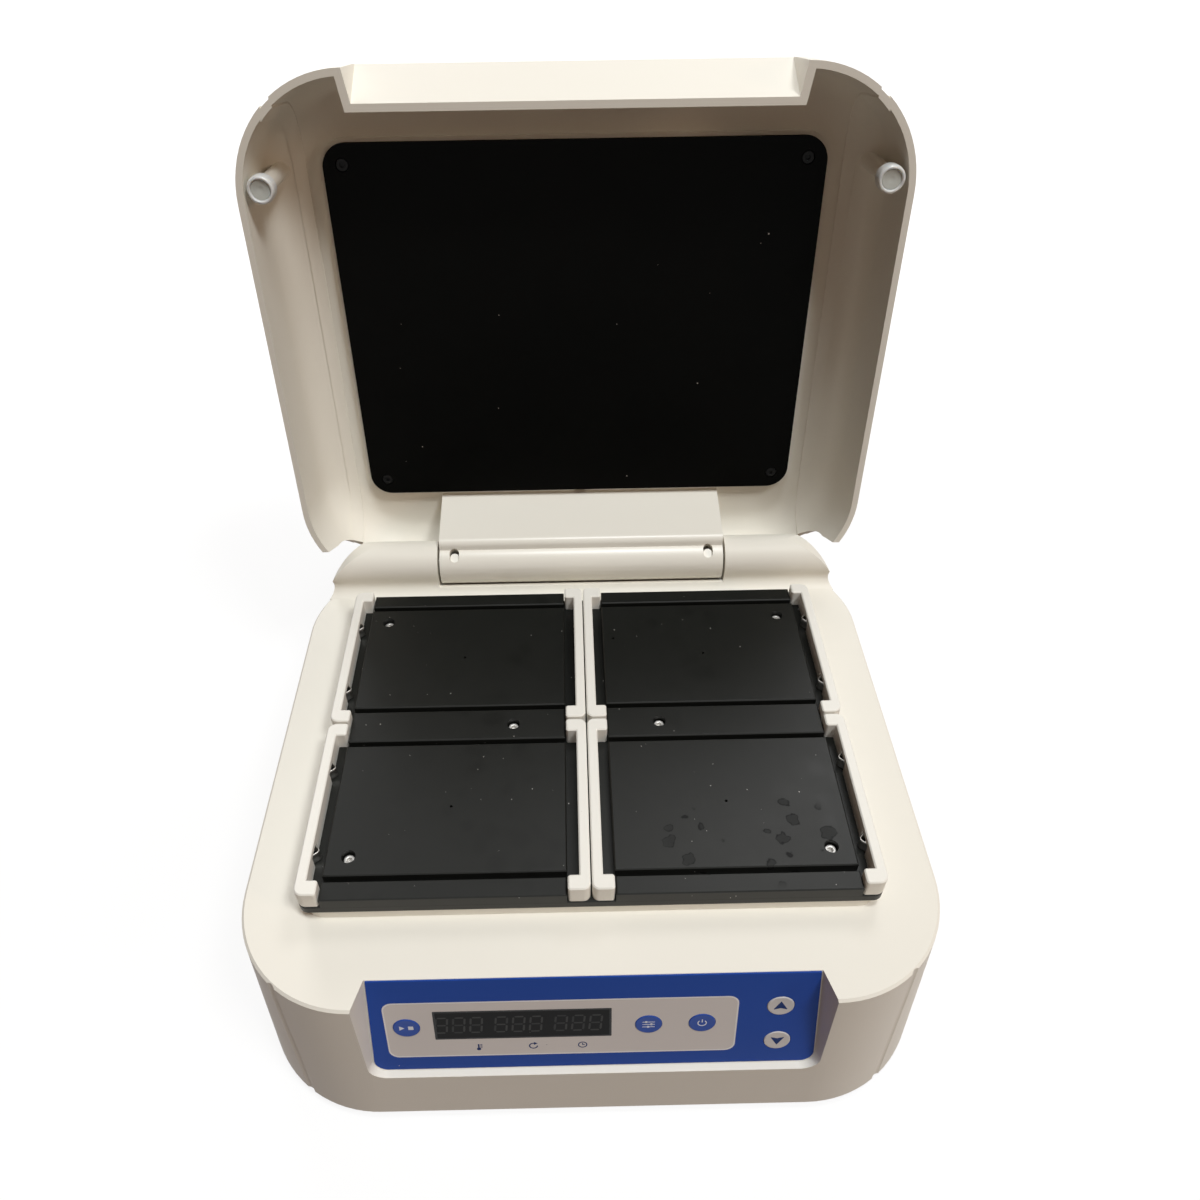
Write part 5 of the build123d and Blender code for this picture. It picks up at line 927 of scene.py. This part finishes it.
# ------ heated block
@dataclass
class Block:
    """Heated block with its screws, plate holders and springs."""

    centre_y: float = -2.0
    station: tuple[float, float] = (70.3, 51.91)
    nest: tuple[float, float] = (129.3, 86.2)
    plateau_half: tuple[float, float] = (58.85, 38.7)
    screw_inset: tuple[float, float] = (11.1, 10.4)
    middle_screw_x: float = 40.0
    screw_seat: float = 125.9
    screw: SocketScrew = SocketScrew(head_r=2.7, head=2.6, shank_r=1.5, shank=22.0, socket_r=1.45)
    spring_z: tuple[float, float] = (125.3, 132.1)
    spring_setback: float = 1.7
    spring_thick: float = 0.5
    spring_bulge: float = 2.3
    spring_half: float = 31.0
    spring_edge: float = 0.12
    bulge_pitch: float = 49.6
    bulge_half: float = 4.6

    def screws(self) -> None:
        """Put the six steel screws into their counterbores."""
        piece = Piece("block_cap_screws", "platform", SCREW_HEAD, ("block_screws",))
        screw = self.screw.rings()
        dx, dy = (h - i for h, i in zip(self.plateau_half, self.screw_inset))
        spots = [(sx * (self.station[0] + dx), self.centre_y + sy * (self.station[1] + dy))
                 for sx, sy in STATIONS.values()]
        spots += [(s * self.middle_screw_x, self.centre_y) for s in (-1, 1)]
        first_turn, more_turn = 0.35, 0.9
        for number, (x, y) in enumerate(spots):
            a = first_turn + more_turn * number
            piece.tube(screw, Place((x, y, self.screw_seat), (math.cos(a), math.sin(a), 0.0),
                                    (-math.sin(a), math.cos(a), 0.0)))
        piece.finish_up()

    def spring(self, place: str) -> None:
        """Make one leaf spring: a flat strip whose two bulges are raised cosines.

        The strip's middle line stands at a fixed x, less the bulge's reach times half of one
        plus the cosine of the distance from the bulge's centre, scaled to pi at its end.
        """
        sx, sy = STATIONS[place]
        middle_y = self.centre_y + sy * self.station[1]
        face = sx * (self.station[0] + self.nest[0] / 2)
        y = np.linspace(-self.spring_half, self.spring_half, 125)
        away = np.minimum(np.abs(np.abs(y) - self.bulge_pitch / 2) / self.bulge_half, 1.0)
        rise = 0.5 * (1.0 + np.cos(np.pi * away))
        flat = self.spring_setback + self.spring_thick / 2
        reach = flat + self.spring_bulge - self.spring_thick / 2
        x = face + sx * (flat - reach * rise)
        way = np.stack([np.gradient(x), np.gradient(y)], axis=1)
        way /= np.linalg.norm(way, axis=1)[:, None]
        side = np.stack([-way[:, 1], way[:, 0]], axis=1)
        low, high = self.spring_z
        half, soft = self.spring_thick / 2, self.spring_edge
        section = [(half, low + soft), (half, high - soft), (half - soft, high),
                   (soft - half, high), (-half, high - soft), (-half, low + soft),
                   (soft - half, low), (half - soft, low)]
        rings = np.empty((len(y), len(section), 3))
        for number, (out, z) in enumerate(section):
            rings[:, number, 0] = x + side[:, 0] * out
            rings[:, number, 1] = middle_y + y + side[:, 1] * out
            rings[:, number, 2] = z
        piece = Piece("spring_strip_" + place, "spring_" + place, FINISHES["spring_steel"],
                      ("leaf_spring_" + place,), sharp_deg=50.0)
        piece.tube(rings[:, ::-1])
        piece.finish_up()

    def build(self) -> None:
        """Make the block and what stands on it."""
        # The block's rolled edges take the lighter edge finish, which paints a highlight along
        # them.
        Rounded("block_body", "heating_block", "platform", FINISHES["block_black"], 0.22,
                BLOCK_EDGE_HIGHLIGHT, least=0.4).build()
        for place in STATIONS:
            Rounded("outer_holder_" + place, "outer_bracket_" + place, "platform",
                    FINISHES["bracket_white"], 0.5, sharp_deg=24.0).build()
            self.spring(place)
        Rounded("inner_holders", "inner_brackets", "platform", FINISHES["bracket_white"], 0.5,
                sharp_deg=24.0).build()
        self.screws()


# ------ lid
@dataclass
class Lid:
    """Lid with its lining plate, screws, bumpers and hinge arm."""

    open_deg: float = 97.7
    hinge: tuple[float, float] = (137.0, 127.8)
    bumper_at: tuple[float, float] = (158.5, -97.3)
    bumper_seat: float = 121.3
    bumper_profile: Profile = ((3.0, 0.0), (6.6, 0.0), (7.0, 0.35), (7.05, 4.9), (6.95, 5.9),
                               (6.6, 6.6), (6.1, 6.95), (5.55, 6.95), (5.15, 6.65), (4.95, 6.1),
                               (4.85, 5.0), (3.0, 4.9))
    core_profile: Profile = ((4.8, 4.6), (4.8, 6.0), (4.3, 6.1), (3.4, 5.8), (2.4, 5.95),
                             (1.5, 5.7), (0.4, 5.6))
    lining_screws: Profile = ((125.0, -99.7), (125.0, 91.3))
    lining_seat: float = 158.8
    screw: SocketScrew = SocketScrew(head_r=3.2, head=1.5, shank_r=1.5, shank=3.5, socket_r=1.5)
    clamp_x: float = 81.5
    clamp_deg: float = 219.7
    plug_r: tuple[float, float, float] = (10.1, 11.6, 11.9)
    # how far the plugs sit down their slots, so that the dark screw at the top of each slot stands
    # partly for painted shade
    plug_shade_shift: float = 1.2
    plug_half: tuple[float, float] = (2.9, 4.4)
    plug_round: float = 2.88
    plug_taper: float = 0.35

    def closed(self) -> Place:
        """Frame in which coordinates of the closed lid stand where the open one is."""
        a = math.radians(self.open_deg)
        y, z = np.array([0.0, math.cos(a), -math.sin(a)]), np.array([0.0, math.sin(a), math.cos(a)])
        hinge_y, hinge_z = self.hinge
        origin = np.array([0.0, hinge_y, hinge_z]) - hinge_y * y - hinge_z * z
        return Place(tuple(origin), (1.0, 0.0, 0.0), tuple(y), tuple(z))

    def bumpers(self) -> None:
        """Turn the silicone cups and their grey cores; they point out of the open lid."""
        cup = Piece("bumper_cups", "lid", FINISHES["bumper_silicone"], ("lid_bumpers",))
        core = Piece("bumper_cores", "lid", BUMPER_CORE)
        for s in (-1, 1):
            at = self.closed().moved(s * self.bumper_at[0], self.bumper_at[1],
                                     self.bumper_seat).flipped()
            cup.ring(turned(self.bumper_profile, 48), at)
            core.tube(turned(self.core_profile, 40), at)
        cup.finish_up()
        core.finish_up()

    def screws(self) -> None:
        """Put the lining plate's four screws into their sunk seats."""
        piece = Piece("lining_cap_screws", "lid", FINISHES["dark_screw"], ("lining_screws",))
        for s in (-1, 1):
            for x, y in self.lining_screws:
                at = self.closed().moved(s * x, y, self.lining_seat)
                piece.tube(self.screw.rings(), at.flipped())
        piece.finish_up()

    def plugs(self) -> None:
        """Cover the clamp screws with pale plugs, set low to leave the top of each slot open: the
        dark screw seen there adds painted shade to the slot's real shade.
        """
        piece = Piece("clamp_plugs", "lid", FINISHES["bracket_white"])
        closed, a = self.closed(), math.radians(self.clamp_deg)
        out = math.cos(a) * np.array(closed.y) + math.sin(a) * np.array(closed.z)
        half_x, half_y = self.plug_half
        wide, top = (rounded_box(half_x - t, half_y - self.plug_shade_shift - t, self.plug_round - t)
                     for t in (0.0, self.plug_taper))
        for s in (-1, 1):
            origin = closed.put(np.array([s * self.clamp_x, *self.hinge]))
            at = Place(tuple(origin), (1.0, 0.0, 0.0), tuple(np.cross(out, (1.0, 0.0, 0.0))),
                       tuple(out)).moved(0.0, -self.plug_shade_shift)
            piece.tube(stack_rings([wide, wide, top], list(self.plug_r)), at)
        piece.finish_up()

    def build(self) -> None:
        """Make the lid and what turns with it."""
        Rounded("lid_moulding", "lid_shell", "lid", FINISHES["casing"], 0.55).build()
        Rounded("hinge_moulding", "hinge_arm", "lid", ARM_GLOSS, 0.5).build()
        # The lining plate's rolled edges take the lighter edge finish, which paints a highlight
        # along them.
        Rounded("lining_sheet", "lid_lining_plate", "lid", FINISHES["lining_black"], 0.3,
                LINING_EDGE_HIGHLIGHT).build()
        self.bumpers()
        self.screws()
        self.plugs()


# ------ control panel
TILT = math.radians(12.98)
DIGITS = {"0": "abcdef", "1": "bc", "2": "abged", "3": "abgcd", "5": "afgcd", "7": "abc",
          "8": "abcdefg"}


@dataclass
class ControlPanel:
    """Keys with printed signs, the display and the marks of the front panel."""

    centre: Point = (0.0, -143.837, 81.3)
    layout_up: float = 0.3
    face: float = 0.8
    sunk: float = 0.1
    key_profile: Profile = ((7.7, -4.3), (7.7, -3.3), (6.4, -3.3), (6.4, 0.84), (6.32, 0.98),
                            (6.15, 1.07), (5.9, 1.1), (5.4, 1.08), (4.6, 1.045), (3.6, 1.01),
                            (2.2, 0.975), (0.8, 0.955), (0.2, 0.95))
    key_face: float = 0.95
    print_thick: float = 0.17
    low_print: float = 0.03
    keys: dict = field(default_factory=lambda: {
        "key_start": (-89.5, -0.8), "key_set": (26.1, -2.0), "key_off": (51.7, -1.8),
        "key_up": (88.4, 9.5), "key_down": (88.9, -16.4)})
    display: tuple[float, float] = (-34.0, 0.3)
    display_half: tuple[float, float] = (42.4, 10.4)
    display_line: tuple[float, float] = (0.5, 1.0)
    field: tuple[float, float] = (-15.65, -3.0)
    field_half: tuple[float, float] = (84.15, 20.4)
    field_line: tuple[float, float] = (5.0, 0.75)
    digit: tuple[float, float] = (5.4, 11.0)
    digit_pitch: float = 8.3
    digit_gap: float = 0.45
    digit_slant: float = 0.09
    segment_half: tuple[float, ...] = (0.05, 0.5, 0.5, 0.05)
    groups: tuple = (("370", -30.5), ("500", -2.0), ("120", 26.5))
    marks: Profile = ((-56.0, -16.6), (-29.5, -16.6), (-5.6, -16.6))

    def plane(self, x: float = 0.0, y: float = 0.0) -> Place:
        """Return the panel's frame at a layout point; z is out of the panel."""
        base = Place(self.centre, (1.0, 0.0, 0.0), (0.0, math.sin(TILT), math.cos(TILT)),
                     (0.0, -math.cos(TILT), math.sin(TILT)))
        return base.moved(x, y + self.layout_up)

    def outlines(self, piece: Piece, shapes: list, place: Place, low: float, high: float) -> None:
        """Add a thin print for each outline."""
        for shape in shapes:
            piece.slab(np.asarray(shape, float), place, low, high)

    def key(self, name: str, signs: list) -> None:
        """Make one key from its profile, and the sign printed in its dish.

        Args:
            name: the CAD node that the key takes the place of.
            signs: outlines of its sign.
        """
        light = name in ("key_up", "key_down")
        finish = FINISHES["key_light" if light else "key_blue"]
        cap = Piece("cap_" + name[4:], name, finish, (name,))
        place = self.plane(*self.keys[name])
        cap.tube(turned(self.key_profile, 56), place)
        cap.finish_up()
        sign = Piece("sign_" + name[4:], name, PRINT_BLUE if light else PRINT_WHITE)
        low = self.key_face - self.sunk
        self.outlines(sign, signs, place, low, low + self.print_thick)
        sign.finish_up()

    def signs(self) -> dict[str, list]:
        """Outlines of the keys' signs: run and halt, sliders, power, up and down."""
        up = [(0.0, 3.4), (-3.5, -2.6), (0.0, -1.5), (3.5, -2.6)]
        run = [(-3.4, 1.5), (-3.4, -1.5), (-0.9, 0.0)]
        halt = rounded_box(1.25, 1.25, 0.15) + np.array([2.1, 0.0])
        sliders = []
        for y, knob in ((1.8, -1.2), (0.0, 1.3), (-1.8, -0.2)):
            sliders.append(stroke([(-3.0, y), (3.0, y)], 0.42))
            sliders.append(rounded_box(0.5, 0.68, 0.12) + np.array([knob, y]))
        power = [stroke(arc(2.0, 130.0, 270.0), 0.5), stroke(arc(2.0, 270.0, 410.0), 0.5),
                 stroke([(0.0, 2.6), (0.0, 0.4)], 0.5)]
        return {"key_start": [run, halt], "key_set": sliders, "key_off": power,
                "key_up": [up], "key_down": [[(-x, -y) for x, y in up]]}

    def segments(self, text: str, middle: float, lit: bool) -> list:
        """Outlines of seven-segment figures.

        Args:
            text: the figures.
            middle: x of the middle of the group.
            lit: draw the segments that the figures use, or else the ones that they leave.

        Returns:
            Outlines about the display's centre.
        """
        w, h = self.digit[0] / 2, self.digit[1] / 2
        half, gap = np.array(self.segment_half), self.digit_gap
        spans = {"a": ((-w, h), (w, h)), "b": ((w, h), (w, 0)), "c": ((w, 0), (w, -h)),
                 "d": ((-w, -h), (w, -h)), "e": ((-w, 0), (-w, -h)), "f": ((-w, h), (-w, 0)),
                 "g": ((-w, 0), (w, 0))}
        found = []
        for place, figure in enumerate(text):
            x0 = middle + (place - (len(text) - 1) / 2) * self.digit_pitch
            for name, (start, end) in spans.items():
                if (name in DIGITS[figure]) != lit:
                    continue
                a, b = np.array(start, float), np.array(end, float)
                way = (b - a) / np.linalg.norm(b - a)
                tip, full = way * gap, way * (gap + half.max())
                line = np.array([a + tip, a + full, b - full, b - tip])
                side = half[:, None] * np.array([way[1], -way[0]])
                shape = np.concatenate([line + side, (line - side)[::-1]])
                shape[:, 0] += self.digit_slant * shape[:, 1] + x0
                found.append(shape)
        return found

    def display_face(self) -> None:
        """Draw the figures under the tinted window's face and a fine frame round it."""
        place = self.plane(*self.display)
        for name, lit, finish in (("display_figures", True, SEGMENT),
                                  ("display_rest", False, SEGMENT_OFF)):
            piece = Piece(name, "base", finish)
            for text, middle in self.groups:
                self.outlines(piece, self.segments(text, middle, lit), place,
                              self.face - self.sunk, self.face + 0.02)
            piece.finish_up()
        rim = Piece("display_frame", "base", DISPLAY_RIM)
        rim.border(self.display_half, *self.display_line, place, self.face - 2 * self.sunk,
                   self.face + self.sunk)
        rim.finish_up()

    def field_rim(self) -> None:
        """Draw the light line round the silver field."""
        piece = Piece("field_rim", "base", FIELD_RIM)
        piece.border(self.field_half, *self.field_line, self.plane(*self.field),
                     self.face - self.sunk, self.face + self.low_print)
        piece.finish_up()

    def field_marks(self) -> None:
        """Print a thermometer, a turning arrow and a clock under the display."""
        piece = Piece("field_marks", "base", PRINT_BLUE)
        bulb = [arc(1.05, 0.0, 360.0, 20, (0.0, -1.5))[:-1],
                stroke([(0.0, -1.2), (0.0, 2.2)], 0.8)]
        bulb += [stroke([(0.75, y), (1.8, y)], 0.45) for y in (1.8, 0.8, -0.2)]
        spin = [stroke(arc(1.9, 70.0, 215.0), 0.62), stroke(arc(1.9, 215.0, 360.0), 0.62),
                [(0.3, 2.9), (0.3, 0.7), (2.1, 1.8)]]
        clock = [stroke(arc(2.0, 0.0, 180.0), 0.55), stroke(arc(2.0, 180.0, 360.0), 0.55),
                 stroke([(0.0, 1.3), (0.0, -0.2)], 0.5), stroke([(-0.2, 0.0), (1.1, 0.0)], 0.5)]
        for shapes, (x, y) in zip((bulb, spin, clock), self.marks):
            self.outlines(piece, shapes, self.plane(x, y), self.face - self.sunk,
                          self.face + self.low_print)
        piece.finish_up()

    def build(self) -> None:
        """Make the overlay, the keys, the display and the prints."""
        Rounded("panel_overlay", "control_panel", "base", FINISHES["panel_blue"], 0.2,
                least=0.6).build()
        for name, signs in self.signs().items():
            self.key(name, signs)
        self.display_face()
        self.field_rim()
        self.field_marks()


# ------ stage
@dataclass(frozen=True)
class Lamp:
    """A square area lamp that faces the object's middle; its lengths are in metres."""

    name: str
    place: Point
    size: float
    watts: float
    colour: Colour = (1.0, 1.0, 1.0)

    def build(self, aim: Point) -> None:
        """Hang the lamp and turn it to the point it faces."""
        data = bpy.data.lights.new(self.name, "AREA")
        data.shape, data.size = "SQUARE", self.size
        data.energy, data.color = self.watts, self.colour
        lamp = shown(self.name, data)
        lamp.location = self.place
        lamp.rotation_mode = "QUATERNION"
        lamp.rotation_quaternion = (Vector(aim) - Vector(self.place)).to_track_quat("-Z", "Y")


@dataclass
class Studio:
    """Camera, lamps, floor and world of the photograph's view, in metres."""

    eye: Point = (-0.006414, -0.334881, 0.545054)
    turn_deg: Point = (46.2847, 0.5530, -1.0611)
    focal: float = 28.7866
    shift: tuple[float, float] = (0.01784, -0.00277)
    middle: Point = (0.0, 0.0, 0.12)
    lamps: tuple[Lamp, ...] = (
        Lamp("key", (0.3, -0.55, 5.0), 1.0, 92.0, (0.95, 1.0, 1.02)),
        Lamp("window", (1.8, -1.5, 4.2), 0.9, 92.0, (0.98, 1.0, 1.0)),
        Lamp("side", (3.4, -1.7, 1.5), 0.7, 15.0, (1.0, 0.72, 0.52)),
        Lamp("rear", (0.55, 0.99, 1.79), 0.6, 5.0),
        Lamp("back", (-1.3, 3.2, 1.5), 1.2, 34.0),
    )
    bounce: Colour = (0.10, 0.055, 0.03)
    ambient: Colour = (0.11, 0.070, 0.046)
    floor_half: float = 4.0
    floor_seen: float = 0.15
    floor_glow: tuple[float, float] = (0.86, 1.0)
    floor_fade: tuple[float, float] = (0.35, 0.9)

    def camera(self) -> None:
        """Place the camera that the photograph was taken from."""
        data = bpy.data.cameras.new("camera")
        data.sensor_width, data.lens = 36.0, self.focal
        data.shift_x, data.shift_y = self.shift
        data.clip_start, data.clip_end = 0.01, 50.0
        camera = shown("camera", data)
        camera.location = self.eye
        camera.rotation_euler = [math.radians(a) for a in self.turn_deg]
        bpy.context.scene.camera = camera

    @staticmethod
    def seen(graph: Graph) -> Socket:
        """Return 1 for rays of the camera, of gloss and through clear parts, and 0 for others."""
        path = graph.add("ShaderNodeLightPath")
        seen = graph.maths("MAXIMUM", path.outputs["Is Camera Ray"], path.outputs["Is Glossy Ray"])
        return graph.maths("MAXIMUM", seen, path.outputs["Is Transmission Ray"])

    def floor(self) -> None:
        """Lay a large floor that is white to the eye but gives warm, dim light to the object.

        Near the object a matt part keeps its shadow; farther out the glow alone is white.
        """
        half = self.floor_half
        mesh = bpy.data.meshes.new("floor")
        mesh.from_pydata([(-half, -half, 0), (half, -half, 0), (half, half, 0), (-half, half, 0)],
                         [], [(0, 1, 2, 3)])
        material = bpy.data.materials.new("floor")
        graph = Graph.of(material)
        seen = self.seen(graph)
        place = graph.add("ShaderNodeTexCoord").outputs["Object"]
        far = graph.ramp(graph.length(place), *self.floor_fade)
        grey = graph.maths("MULTIPLY_ADD", graph.noise(place, 3.0, 2.0), 0.02, self.floor_seen)
        pale = graph.add("ShaderNodeCombineXYZ", {0: grey, 1: grey, 2: grey}).outputs[0]
        matt = graph.add("ShaderNodeBsdfDiffuse", {"Color": graph.mix(seen, self.bounce, pale)})
        low, high = self.floor_glow
        glow = graph.times(seen, graph.maths("MULTIPLY_ADD", far, high - low, low))
        light = graph.add("ShaderNodeEmission", {"Color": (1.0, 1.0, 1.0), "Strength": glow})
        both = graph.add("ShaderNodeAddShader", {0: matt.outputs[0], 1: light.outputs[0]})
        graph.add("ShaderNodeOutputMaterial", {"Surface": both.outputs[0]})
        mesh.materials.append(material)
        shown("floor", mesh)

    def world(self) -> None:
        """Surround the object with white for the eye and gloss, and dim warm light for the rest."""
        world = bpy.data.worlds.new("studio")
        bpy.context.scene.world = world
        graph = Graph.of(world)
        colour = graph.mix(self.seen(graph), self.ambient, (1.0, 1.0, 1.0))
        sky = graph.add("ShaderNodeBackground", {"Color": colour, "Strength": 1.0})
        graph.add("ShaderNodeOutputWorld", {"Surface": sky.outputs[0]})

    def build(self) -> None:
        """Set up the view, the light and the floor."""
        self.camera()
        self.world()
        self.floor()
        for lamp in self.lamps:
            lamp.build(self.middle)
        bpy.context.scene.view_settings.view_transform = "Standard"


def main() -> None:
    """Dress the CAD nodes, build the new pieces and set the studio."""
    logging.basicConfig(level=logging.INFO, format="%(name)s: %(message)s")
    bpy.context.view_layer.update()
    build_effects()
    Studio().build()
    CadNodes().dress()
    for assembly in (Casing(), Block(), Lid(), ControlPanel()):
        assembly.build()


if __name__ == "__main__":
    main()
